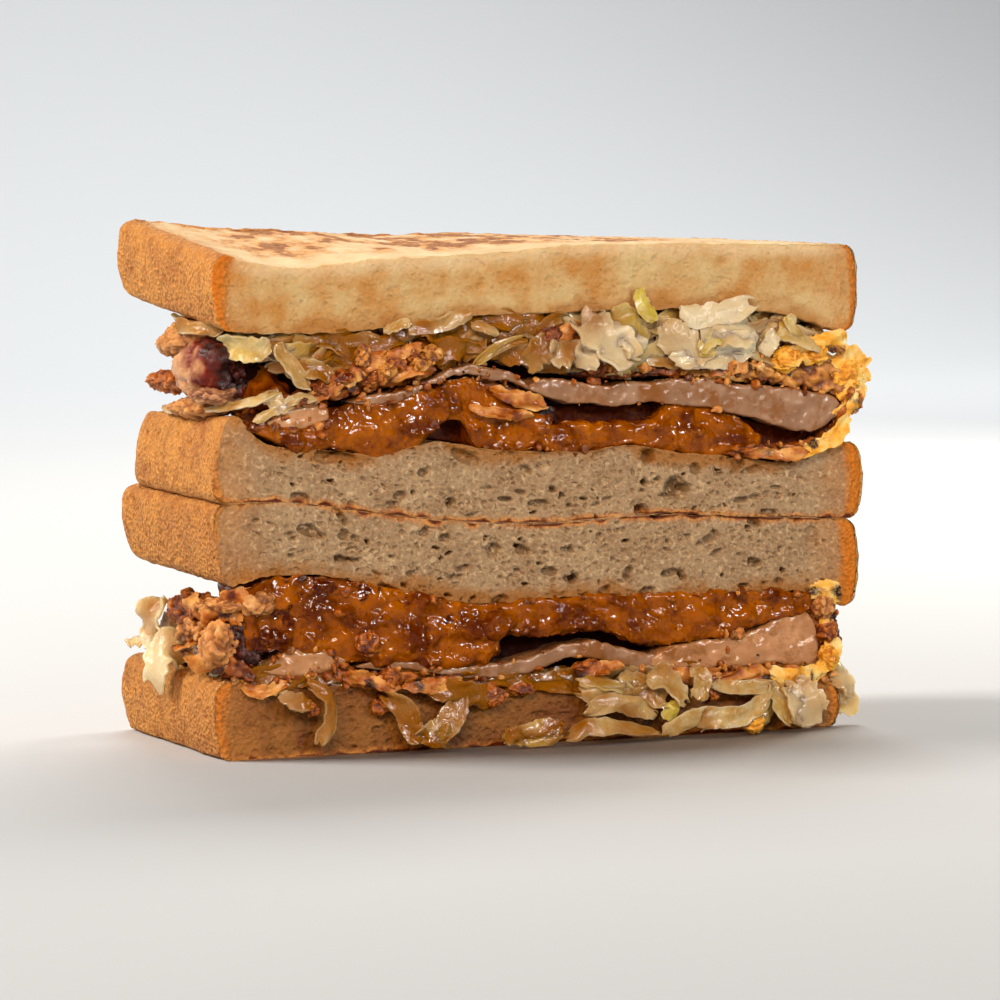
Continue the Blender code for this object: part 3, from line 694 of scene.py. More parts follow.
def leaf_strip(shred, seed, ragged, grid):
    """A thin strip that narrows to its torn ends, cupped a little, with ruffled and ragged edges."""
    bpy.ops.object.select_all(action="DESELECT")
    bpy.ops.mesh.primitive_grid_add(x_subdivisions=grid[0], y_subdivisions=grid[1], size=2)
    piece = bpy.context.object
    along, across, _ = points_of(piece).T
    # Ends are torn at a slant.
    slant = noise_at(rows(along * 0, across * 1.5, along * 0 + 0.3) + seed, 1, seed + 9)
    share = (along + 1) / 2 * 0.92 + 0.04 + 0.045 * shred.width * slant * along ** 2
    share = np.clip(share, 0, 1)
    here = path_points(shred.path, share)
    behind, before = np.maximum(share - 0.03, 0), np.minimum(share + 0.03, 1)
    ahead = path_points(shred.path, before) - path_points(shred.path, behind)
    ahead /= np.linalg.norm(ahead, axis=-1, keepdims=True)
    run = rows(share * 2.0, share * 0, share * 0) + seed
    face = np.array(shred.face) + 0.6 * noise_at(run, 1, seed)[:, None] * (0.6, 0.2, 1)
    side = np.cross(ahead, face)
    side /= np.linalg.norm(side, axis=-1, keepdims=True)
    out = np.cross(side, ahead)
    rim_place = rows(share * 7, np.sign(across) * 3, share) + seed
    rim = 1 + (0.32 + ragged) * rough_noise(rim_place, 1, seed + 1)
    rim = rim + 0.12 * noise_at(rim_place * 2.6, 1, seed + 7)
    taper = np.clip(np.minimum(share, 1 - share) * 4 + 0.12, 0, 1) ** 0.7
    half = shred.width * 0.56 * taper * rim
    # The strip is cupped, and its edges ruffle.
    cup = (0.04 + 0.22 * noise_at(run, 1, seed + 6)) * shred.width * across ** 2
    ruffle = noise_at(rows(share * 4 + across, across * 1.2, share) + seed, 1, seed + 2)
    frill = noise_at(rows(share * 13, across * 2, share) + seed, 1, seed + 5)
    lift = (0.26 + ragged) * ruffle * (0.2 + np.abs(across)) + 0.09 * frill * np.abs(across)
    wave = shred.width * lift
    set_points(piece, here + side * (across * half)[:, None] - out * (cup + wave)[:, None])
    set_attribute(piece, "rim", soft_step(np.abs(across), 0.75, 0.98))
    wall = piece.modifiers.new("wall", "SOLIDIFY")
    wall.thickness = shred.thick * 0.5
    wall.offset = 0
    bpy.ops.object.modifier_apply(modifier=wall.name)
    push_out(piece, (0.08 + ragged) * rough_noise(points_of(piece), 1.2, seed + 3, 2))
    return piece


def join_strips(parts, name, material, slot, node):
    """Strips joined to one piece, with their sharp rims kept sharp."""
    join_parts(parts, name)
    finish_piece(parts[0], points_of(parts[0]), material, slot, [node])
    bpy.ops.object.shade_smooth_by_angle(angle=SHARP_ANGLE)


# Fried chicken

# Specular level of soaked food deep inside, which gives no shine.
DULL = 0.08


def fried_batter(name, painted_crease_shade, body, tip, roughness):
    """Deep-fried potato-starch batter: knobbly, golden where it stands out (its own colour and painted
    light), dark in its creases as painted shade, with burnt spots and a film of oil or sauce that gives
    small highlights. Its char value is painted shade at the front of the bodies behind the cut."""
    material, tree, place = new_material(name)
    high, char = (add_node(tree, "Attribute", {"attribute_name": key}).outputs["Fac"]
                  for key in ("high", "char"))
    # Colour drifts over 3 mm, crumbs finer than the mesh are half a millimetre, and oil stands in wet
    # spots of about 2 mm.
    drift, grain, wet = (
        add_node(tree, "TexNoise", {"Scale": per_metre(size), "Detail": detail, "Roughness": rough},
                 {"Vector": place}).outputs["Fac"]
        for size, detail, rough in ((3, 3, 0.6), (0.5, 3, 0.65), (1.8, 2, 0.5)))
    shade = add_node(tree, "Math", {"operation": "MULTIPLY_ADD", 1: 0.9}, {0: drift, 2: high}).outputs[0]
    burnt = add_node(tree, "Math", {"operation": "MULTIPLY_ADD", 1: 1.2}, {0: char, 2: grain}).outputs[0]
    # The batter's colour follows its relief: painted shade in its creases, lighter tips where it stands out.
    colour = laid_over(tree, painted_crease_shade, (
        (shade, (0.45, 0.85, 1), body), (shade, (0.85, 1.35, 1), tip),
        (grain, (0.62, 0.74, 0.8), "#6A3512"), (burnt, (0.75, 1.25, 1), "#2A0D04")))
    gloss = add_node(tree, "MapRange", {"From Min": 0.45, "From Max": 0.6, "To Min": roughness + 0.25,
                                        "To Max": roughness - 0.2}, {"Value": wet}).outputs[0]
    bump = add_node(tree, "Bump", {"Strength": 0.8, "Distance": 0.25 * MM}, {"Height": grain})
    give_surface(tree, {"IOR": 1.45, "Specular IOR Level": 0.4 if roughness < 0.7 else DULL,
                        "Subsurface Weight": 0.2, "Subsurface Radius": (1.0, 0.45, 0.15),
                        "Subsurface Scale": 1.2 * MM},
                 {"Base Color": colour, "Normal": bump.outputs["Normal"], "Roughness": gloss})
    return material


def cooked_meat(name, pale, pink, wet):
    """Chicken cut across its grain: pale, faintly pink, in close fibres, moist, and light enters it."""
    material, tree, place = new_material(name)
    edge = add_node(tree, "Attribute", {"attribute_name": "edge"}).outputs["Fac"]
    turned = add_node(tree, "Mapping", {"Scale": (0.35, 1, 1), "Rotation": (0, 0.15, 0)},
                      {"Vector": place}).outputs["Vector"]
    # Fibre bundles are about 1 mm thick and run along the cut, colour drifts over 4 mm, sauce is smeared
    # in spots of 5 mm, and juice stands in beads of 1.5 mm that glint.
    fibres, drift, smear, beads = (
        add_node(tree, "TexNoise", {"Scale": per_metre(size), "Detail": detail, "Roughness": rough},
                 {"Vector": vector}).outputs["Fac"]
        for size, detail, rough, vector in (
            (0.9, 3, 0.55, turned), (4, 2, 0.5, place), (5, 6, 0.75, place), (1.5, 0, 0.5, place)))
    smear_share = add_node(tree, "MapRange", {"From Min": 0.5, "From Max": 0.6, "To Max": 0.62},
                           {"Value": smear}).outputs[0]
    smear_share = add_node(tree, "Math", {"operation": "MAXIMUM"}, {0: smear_share, 1: edge}).outputs[0]
    colour = laid_over(tree, pale, (
        (drift, (0.38, 0.62, 1), pink), (fibres, (0.35, 0.7, 0.35), "#A07A5C"),
        (smear_share, None, "#8A5410")))
    relief = add_node(tree, "Math", {"operation": "MULTIPLY_ADD", 1: 0.2}, {0: fibres, 2: beads}).outputs[0]
    bump = add_node(tree, "Bump", {"Strength": 1.0, "Distance": 0.4 * MM}, {"Height": relief})
    give_surface(tree, {"Roughness": wet, "IOR": 1.4, "Specular IOR Level": 0.35, "Subsurface Weight": 0.5,
                        "Subsurface Radius": (1.0, 0.5, 0.3), "Subsurface Scale": 2.0 * MM},
                 {"Base Color": colour, "Normal": bump.outputs["Normal"]})
    return material


def thick_sauce(name, roughness):
    """Thick curry-like sauce with mayonnaise over fried crumbs: orange-brown, lighter where it stands
    out as painted light and nearly red-black in its creases as painted shade, wet all over, with ground
    spice in it. Its char value is painted shade at the front of the bodies behind the cut."""
    material, tree, place = new_material(name)
    high, dark = (add_node(tree, "Attribute", {"attribute_name": key}).outputs["Fac"]
                  for key in ("high", "char"))
    # Colour drifts over 5 mm and soaked crumbs are 0.7 mm. Ground spice is 0.2 to 0.4 mm, drawn a
    # little coarser so that it shows. Rough patches are 5 mm, with bumps of 1.7 mm that glitter.
    drift, crumbs, spice, patches, beads = (
        add_node(tree, "TexNoise", {"Scale": per_metre(size), "Detail": detail, "Roughness": rough,
                                    "Distortion": twist}, {"Vector": place}).outputs["Fac"]
        for size, detail, rough, twist in (
            (5, 4, 0.6, 0.2), (0.7, 2, 0.5, 0), (0.45, 1, 0.4, 0), (5, 1, 0.5, 0), (1.7, 0.6, 0.5, 0)))
    shade = add_node(tree, "Math", {"operation": "MULTIPLY_ADD", 1: 0.8}, {0: crumbs, 2: high}).outputs[0]
    burnt = add_node(tree, "Math", {"operation": "MULTIPLY_ADD", 1: 0.8}, {0: dark, 2: crumbs}).outputs[0]
    # The sauce's colour follows its relief: painted shade in its creases and painted light where it stands
    # out. Its char value is burnt spots on the bands and painted shade on the bodies behind the cut.
    colour = laid_over(tree, "#A65C00", (
        (drift, (0.38, 0.62, 1), "#622801"), (shade, (0.7, 0.35, 0.6), "#3A1001"),
        (shade, (0.95, 1.35, 0.8), "#D08810"), (spice, (0.68, 0.76, 0.8), "#4A1602"),
        (burnt, (1.0, 1.35, 1), "#481602")))
    # Between its rough patches the sauce is smooth.
    unrest = add_node(tree, "MapRange", {"From Min": 0.5, "From Max": 0.62, "To Min": 0.1, "To Max": 1.0},
                      {"Value": patches}).outputs[0]
    bumps = add_node(tree, "Math", {"operation": "MULTIPLY"}, {0: beads, 1: unrest}).outputs[0]
    bump = add_node(tree, "Bump", {"Strength": 1.0, "Distance": 0.9 * MM}, {"Height": bumps})
    give_surface(tree, {"Roughness": roughness, "IOR": 1.45, "Subsurface Weight": 0.3,
                        "Subsurface Radius": (1.0, 0.35, 0.05), "Subsurface Scale": 1.5 * MM,
                        "Specular IOR Level": 0.22 if roughness < 0.5 else DULL},
                 {"Base Color": colour, "Normal": bump.outputs["Normal"]})
    return material


# A ribbon is a band of one food in a cut face, between two lines of (x, z) points, from a front Y
# to a back Y. Its kind gives its relief and its material.
Ribbon = namedtuple("Ribbon", "name kind node under over front back seed")
Kind = namedtuple("Kind", "slot relief roundness ragged crag_size")
KINDS = {
    "meat": Kind("meat", 0.22, 0.2, 0.5, 0),
    "wet_meat": Kind("meat", 0.4, 0.4, 0.5, 0),
    "sauce": Kind("sauce", 0.4, 0.7, 0.8, 1.5),
    "golden": Kind("batter", 1.1, 0.8, 0.3, 2.4),
    "light": Kind("batter", 1.1, 0.8, 0.3, 2.4),
    "brown": Kind("batter", 1.0, 0.8, 0.3, 2.0),
}
RIBBON_SPACING = 0.32
UPPER_RIBBONS = (
    Ribbon("upper_meat_right", "meat", "upper_chicken",
           ((-4, 60.6), (0, 59.2), (5, 57.6), (10, 57.3), (15, 57), (20, 57.5), (25, 57), (30, 56.5),
            (35, 55.5),
            (40, 54.5), (45, 52.8), (50, 51.8), (53, 52.3), (56, 54.2), (57.2, 56)),
           ((-4, 60.8), (0, 62), (5, 61.3), (10, 60.5), (15, 61), (20, 61), (25, 61.5), (30, 61.3),
            (40, 60),
            (50, 59), (55, 58), (57.2, 56.3)), -26.2, -17, 101),
    Ribbon("upper_meat_tip", "wet_meat", "upper_chicken",
           ((-50, 55.0), (-46, 54.0), (-42, 54.3), (-39, 56.0)),
           ((-50, 55.4), (-46, 57.8), (-42, 58.4), (-39, 57.6)),
           -26.4, -18, 102),
    Ribbon("upper_meat_sheet", "meat", "upper_chicken",
           ((-35, 58.2), (-30, 57.9), (-25, 59.2), (-20, 61.6), (-16, 62.8), (-10, 62.0), (-6, 61.4),
            (-3, 60.4)),
           ((-35, 58.6), (-30, 60.0), (-25, 60.6), (-20, 62.4), (-16, 64.3), (-10, 64.0), (-6, 63.0),
            (-3, 60.8)),
           -26.6, -18, 103),
    Ribbon("upper_sauce_left", "sauce", "upper_sauce",
           ((-53.5, 54.9), (-50, 53.2), (-46, 51.2), (-40, 50.9), (-34, 50.2), (-28, 50.2),
            (-24, 51.0), (-20, 53.6), (-17, 56.6)),
           ((-53.5, 55.3), (-50, 55.0), (-46, 54.2), (-40, 55.4), (-34, 58.0), (-28, 58.4),
            (-24, 59.6), (-20, 59.8), (-17, 57.6)),
           -26.6, -16, 104),
    Ribbon("upper_sauce_post", "sauce", "upper_sauce",
           ((-21, 53.4), (-19, 55.4), (-15, 55.6), (-13, 52.0), (-8, 50.0), (-2, 50.2), (2, 51.6)),
           ((-21, 58.6), (-19, 60.6), (-15, 61.8), (-13, 61.6), (-8, 59.0), (-2, 55.6), (2, 54.6)),
           -26.0, -16, 105),
    Ribbon("upper_sauce_middle", "sauce", "upper_sauce",
           ((-1, 50.2), (5, 49.6), (12, 50.0), (18, 50.4), (24, 49.2), (30, 48.4), (36, 47.8),
            (42, 47.4)),
           ((-1, 53.4), (5, 54.0), (12, 53.4), (18, 53.6), (21.5, 54.4), (24, 57.0), (30, 56.6),
            (35, 55.2),
            (38.5, 53.0), (42, 50.4)),
           -25.8, -15, 106),
    Ribbon("upper_shell_right", "golden", "upper_chicken",
           ((34, 48.0), (40, 47.2), (46, 46.6), (50, 47.2), (54, 49.4), (57, 52.6), (59.6, 57.0)),
           ((34, 49.0), (40, 50.2), (46, 49.8), (50, 50.0), (54, 52.0), (57, 56.6), (59.6, 59.6)),
           -26.8, -15, 107),
    Ribbon("upper_batter_right", "light", "upper_chicken",
           ((26, 61.2), (32, 61.0), (38, 60.4), (44, 60.0), (50, 59.2), (56, 58.0), (60.5, 56.6)),
           ((26, 63.4), (32, 63.8), (38, 64.0), (44, 65.6), (50, 66.0), (56, 64.4), (60.5, 60.4)),
           -26.2, -14, 108),
    Ribbon("upper_batter_brown", "brown", "upper_chicken",
           ((5, 62.2), (10, 61.2), (16, 61.4), (22, 61.4), (28, 61.4)),
           ((5, 62.8), (10, 64.0), (16, 62.6), (22, 64.0), (28, 63.2)),
           -25.6, -14, 109),
    Ribbon("upper_batter_left", "golden", "upper_chicken",
           ((-47, 57.6), (-42, 58.2), (-36, 59.0), (-30, 60.0), (-24, 61.2), (-19, 63.0)),
           ((-47, 58.6), (-42, 61.6), (-36, 64.2), (-30, 65.6), (-24, 66.6), (-19, 66.0)),
           -25.6, -14, 110),
    Ribbon("upper_batter_strands", "brown", "upper_chicken",
           ((-20, 57.0), (-14, 57.0), (-8, 55.2), (-3, 54.2), (3, 54.0)),
           ((-20, 61.0), (-14, 62.0), (-8, 61.6), (-3, 60.2), (3, 57.0)),
           -25.2, -14, 111),
    Ribbon("upper_batter_crest", "brown", "upper_chicken",
           ((-18, 64.6), (-12, 64.4), (-6, 64.8), (0, 66.4), (4, 67.0)),
           ((-18, 68.6), (-12, 66.8), (-6, 69.2), (0, 71.0), (4, 70.0)),
           -24.8, -14, 112),
)
LOWER_RIBBONS = (
    Ribbon("lower_meat_left", "wet_meat", "lower_chicken",
           ((-51, 14.4), (-47, 13.4), (-43, 13.4), (-39, 14.2), (-36, 15.4)),
           ((-51, 15.0), (-47, 17.6), (-43, 18.2), (-39, 17.2), (-36, 16.0)),
           -26.4, -18, 121),
    Ribbon("lower_meat_thin", "meat", "lower_chicken",
           ((-34, 14.2), (-30, 13.8), (-25, 13.8), (-20, 12.5), (-15, 11.8), (-10, 11.5), (-5, 12),
            (0, 13), (5, 14.5),
            (10, 14), (15, 12.5), (20, 11.8), (24, 11.6)),
           ((-34, 14.6), (-30, 15.9), (-25, 15.2), (-20, 14.4), (-15, 13.8), (-10, 13.8), (-5, 14.6),
            (0, 15.6), (5, 17),
            (10, 17), (15, 15.6), (20, 14.2), (24, 13)), -26.0, -17, 122),
    Ribbon("lower_meat_right", "wet_meat", "lower_chicken",
           ((20, 12.2), (25, 11.5), (30, 11.0), (40, 11.4), (46, 11.4), (51, 10.8), (53, 12.4)),
           ((20, 13.8), (25, 15.6), (30, 16.0), (38, 17.2), (43, 18.6), (48, 20.6), (51.6, 19.8),
            (53.4, 14.0)), -26.3, -16, 123),
    Ribbon("lower_sauce_left", "sauce", "lower_sauce",
           ((-54, 18.6), (-48, 18.0), (-40, 16.4), (-30, 15.2), (-20, 14.6), (-12, 14.2), (-8, 16.0)),
           ((-54, 27.4), (-50, 29.2), (-42, 29.6), (-34, 28.3), (-24, 25.8), (-12, 24.0), (-8, 23.9)),
           -26.8, -14, 124),
    Ribbon("lower_sauce_right", "sauce", "lower_sauce",
           ((-9, 19.6), (0, 19.0), (10, 19.2), (20, 16.2), (30, 16.8), (40, 18.2), (46, 20.0),
            (52, 21.0)),
           ((-9, 23.8), (0, 24.4), (10, 24.5), (20, 24.2), (30, 24.2), (40, 24.1), (46, 24.1),
            (52, 23.2)), -26.6, -14, 125),
    Ribbon("lower_batter_left", "brown", "lower_chicken",
           ((-57, 13.6), (-50, 11.7), (-44, 12.6), (-40, 13.4), (-36, 13.0)),
           ((-57, 18.0), (-50, 14.4), (-44, 13.8), (-40, 15.0), (-36, 14.8)),
           -26.2, -14, 126),
    Ribbon("lower_batter_middle", "golden", "lower_chicken",
           ((-39, 12.6), (-35, 11.0), (-30, 9.8), (-25, 9.3), (-20, 9.0), (-16, 10.0), (-10, 11)),
           ((-39, 15.6), (-35, 14.6), (-30, 14.0), (-25, 13.8), (-20, 12.6), (-16, 12.2), (-10, 11.6)),
           -26.8, -14, 127),
    Ribbon("lower_batter_under", "brown", "lower_chicken",
           ((-8, 10.6), (-2, 9.8), (4, 9.6), (10, 10.6), (15, 9.6), (20, 10.2), (26, 10.6)),
           ((-8, 11.4), (-2, 11.2), (4, 11.6), (10, 12.6), (15, 12.2), (20, 12.0), (26, 11.6)),
           -25.2, -14, 128),
    Ribbon("lower_batter_right", "golden", "lower_chicken",
           ((24, 10.6), (29, 9.8), (31, 6.2), (33, 6.4), (35, 9.0), (42, 9.2), (47, 8.2), (52, 7.6),
            (56, 9.6)),
           ((24, 11.8), (29, 11.4), (31, 11.2), (33, 11.2), (35, 11.4), (42, 11.8), (47, 11.6),
            (52, 11.4), (56, 12.6)),
           -26.4, -14, 129),
    Ribbon("lower_batter_end", "golden", "lower_chicken",
           ((50.5, 11.0), (52, 9.2), (54, 8.4), (56, 9.4), (57.5, 12)),
           ((50.5, 22.6), (52, 23.6), (54, 23.0), (56, 20.6), (57.5, 16.0)),
           -26.2, -16, 130),
)
# The body of batter behind each cut face lies back from it, so that gaps between ribbons are deep.
BODY_FRONT = -21.5


def band_relief(kind, place, seed):
    """How far points of a band stand out, and how high they count for its colour, which takes painted shade
    where they are low and painted light where they stand out.
    """
    if not kind.crag_size:
        high_share = np.clip(0.5 + 0.8 * rough_noise(place, 3.0, seed + 3), 0, 1) * 0.6
        return kind.relief * rough_noise(place * (0.7, 1, 1), 2.8, seed + 5), high_share
    high_share = crags(place, seed, kind.crag_size)
    amount = kind.relief * (1.5 * high_share - 0.7)
    if kind.slot == "sauce":
        folds = rough_noise(place * (0.8, 1, 1.2), 3.4, seed + 5)
        rough_share = soft_step(noise_at(place, 5, seed + 6), -0.5, 0.3)
        creases = ridges(warped(place * (0.7, 1, 1.1), 3, 1.8, seed + 14), 3.6, seed + 15, 2) ** 7
        amount = amount * (0.35 + 0.65 * rough_share) + 0.9 * folds
        amount = amount - 0.7 * creases
        # The sauce's creases count low, so that they take painted shade.
        high_share = 0.55 * high_share + 0.25 + 0.3 * folds - 0.35 * creases
    return amount, high_share


def ribbon(one, materials):
    """A band of food in a cut face, with relief of its own kind."""
    kind, seed = KINDS[one.kind], one.seed
    under = np.array(one.under, float)
    left, right = under[0, 0], under[-1, 0]
    tallest = (smooth_line(one.over, under[:, 0]) - under[:, 1]).max()
    sizes = (right - left, (one.back - one.front) / 2, tallest)
    piece = cut_block(one.name, [rounds_of(size, RIBBON_SPACING) for size in sizes])
    u, v, w = points_of(piece).T
    x = left + (right - left) * (u + 1) / 2
    y = one.front + (one.back - one.front) * ((v + 1) / 2) ** 1.6
    share_up = (w + 1) / 2
    low, high = smooth_line(one.under, x), smooth_line(one.over, x)
    high = np.maximum(high, low + 0.3)
    across = rows(x, y * 0.4, np.sign(w))
    wave = rough_noise(across, 3.2, seed) + 0.45 * rough_noise(across, 1.1, seed + 1, 2)
    wave = kind.ragged * wave
    # A rounded edge: the front falls back towards the band's two long edges and its ends.
    edge = np.maximum(np.abs(w), 0) ** 6
    fade = np.clip(1 - (v + 1) / 2, 0, 1) ** 3
    y = y + kind.roundness * (edge + np.abs(u) ** 60 * 2) * fade
    z = low + (high - low) * share_up + wave * np.abs(w) - w * kind.roundness * 0.25 * fade
    # Sauce laps over what it touches.
    z = z + 0.7 * w * (kind.slot == "sauce")
    place = rows(x, y, z)
    set_points(piece, place)
    amount, high_share = band_relief(kind, place, seed)
    push_out(piece, amount)
    char = soft_step(rough_noise(place, 4.5, seed + 9), 0.4, 0.9) * (kind.slot == "batter")
    set_attribute(piece, "high", high_share)
    set_attribute(piece, "char", char * 0.6 + char_near(warped(place, 1.6, 1.2, seed + 12)))
    stain = char_near(warped(place, 1.4, 1.4, seed + 16), MEAT_STAINS)
    set_attribute(piece, "edge", np.maximum(soft_step(np.abs(w), 0.8, 1.0) * 0.55, 0.8 * stain))
    return finish_piece(piece, points_of(piece), materials[one.kind], kind.slot, [one.node])


# A burnt or dark patch: its middle in space and how far it reaches, in millimetres.
Burn = namedtuple("Burn", "x y z reach")
BURNS = (
    Burn(-53, -26, 55.5, 2.4), Burn(-49, -26, 56.2, 2.0), Burn(-50, -26, 19, 4.5),
    Burn(-47, -26, 23, 3.0), Burn(-9, -26, 20.5, 3.2), Burn(-40, -26, 28.0, 3.5),
    Burn(-33, -26, 27.5, 2.5), Burn(-18, -26, 22.0, 1.8), Burn(2, -26, 56.5, 3.5),
    Burn(6, -26, 63, 2.5), Burn(-8, -24, 68.5, 2.5), Burn(57, -20, 15, 4.5), Burn(-50, -20, 14, 3.0),
    Burn(-40, -26, 13.5, 2.0), Burn(47, -26, 62, 1.0), Burn(-54, -16, 64, 6.0), Burn(-48, -20, 61, 5.0),
)
# Sauce that has run over the cut meat.
MEAT_STAINS = (
    Burn(20.5, -26, 58.4, 3.6), Burn(9, -26, 15.4, 4.6), Burn(-4, -26, 62, 2.6),
    Burn(33, -26, 57.4, 2.0), Burn(24, -26, 14.2, 2.4), Burn(-38, -26, 57, 2.6),
)


def char_near(place, patches=BURNS):
    """How burnt or stained the food is by its nearness to the patches."""
    char = np.zeros(len(place))
    for burn in patches:
        gap = np.sqrt(((place - (burn.x, burn.y, burn.z)) ** 2).sum(axis=-1))
        char = np.maximum(char, 1 - soft_step(gap, burn.reach * 0.5, burn.reach))
    return char


# The body of a layer: its node, its plan, the levels that it lies between, and its seed.
Body = namedtuple("Body", "node plan under over seed")
LOWER_CHICKEN_PLAN = Plan(-57.0, 55.0, 15.0, 22, 14)
UPPER_CHICKEN_PLAN = Plan(-52.0, 57.0, 16.0, 14, 14)
LOWER_SAUCE_PLAN = Plan(-49.0, 49.0, 12.0, 18, 12)
UPPER_SAUCE_PLAN = Plan(-48.0, 54.0, 13.0, 14, 14)
LOWER_CABBAGE_PLAN = Plan(-55.0, 54.0, 18.0, 12, 14)
UPPER_CABBAGE_PLAN = Plan(-52.0, 55.0, 19.0, 10, 12)
BODIES = (
    Body("lower_chicken", LOWER_CHICKEN_PLAN, LOWER_CHICKEN_UNDER, LOWER_CHICKEN_TOP, 201),
    Body("upper_chicken", UPPER_CHICKEN_PLAN, UPPER_CHICKEN_UNDER, UPPER_CHICKEN_TOP, 202),
    Body("lower_sauce", LOWER_SAUCE_PLAN, LOWER_CHICKEN_TOP, LOWER_SAUCE_TOP, 203),
    Body("upper_sauce", UPPER_SAUCE_PLAN, UPPER_BREAD_TOP, UPPER_CHICKEN_UNDER, 204),
)
BODY_SPACING = 0.75
BODY_THICKNESS = 8


def layer_body(body, material, slot, front, craggy):
    """The part of a layer that lies behind the cut face, with a knobbly or a lumpy rim."""
    plan = body.plan
    sizes = (plan.right - plan.left, plan.back - front, BODY_THICKNESS)
    piece = cut_block(body.node + "_body", [rounds_of(size, BODY_SPACING) for size in sizes])
    u, v, w = points_of(piece).T
    x = plan.left + (plan.right - plan.left) * (u + 1) / 2
    y = front + (plan.back - front) * (v + 1) / 2
    x, y = round_corners(x, y, plan)
    low, high = height(body.under, x, y) + GAP / 2, height(body.over, x, y) - GAP / 2
    middle = (low + high) / 2
    # The rim is round from top to bottom.
    rim = np.maximum(np.abs(u), np.maximum(v, 0)) ** 16
    z = middle + (high - middle) * w * (1 - 0.35 * rim)
    place = np.stack((x, y, z), axis=-1)
    set_points(piece, place)
    if craggy:
        high_share = crags(place, body.seed, 3.4)
        outside = (rim > 0.2) | (v < -ALMOST_ONE)
        push_out(piece, np.where(outside, 2.2 * high_share - 1.2, 0.3 * high_share - 0.2))
    else:
        high_share = 0.4 + 0.5 * noise_at(place, 4, body.seed)
        push_out(piece, np.where(rim > 0.2, 0.8 * rough_noise(place, 4, body.seed + 1), 0))
    # Where the body's front shows in the gaps between the bands, it is darkened as painted shade: its char
    # value rises and its high spots are dimmed.
    front_shade = soft_step(front + 4 - y, 0, 4)
    set_attribute(piece, "high", high_share * (1 - 0.7 * front_shade))
    set_attribute(piece, "char", char_near(place) + 1.4 * front_shade)
    return finish_piece(piece, points_of(piece), material, slot, [body.node])


# Separate knobs and crumbs of batter

# Subdivisions of the balls that knobs and crumbs are made from.
KNOB_DETAIL = 5
CRUMB_DETAIL = 2
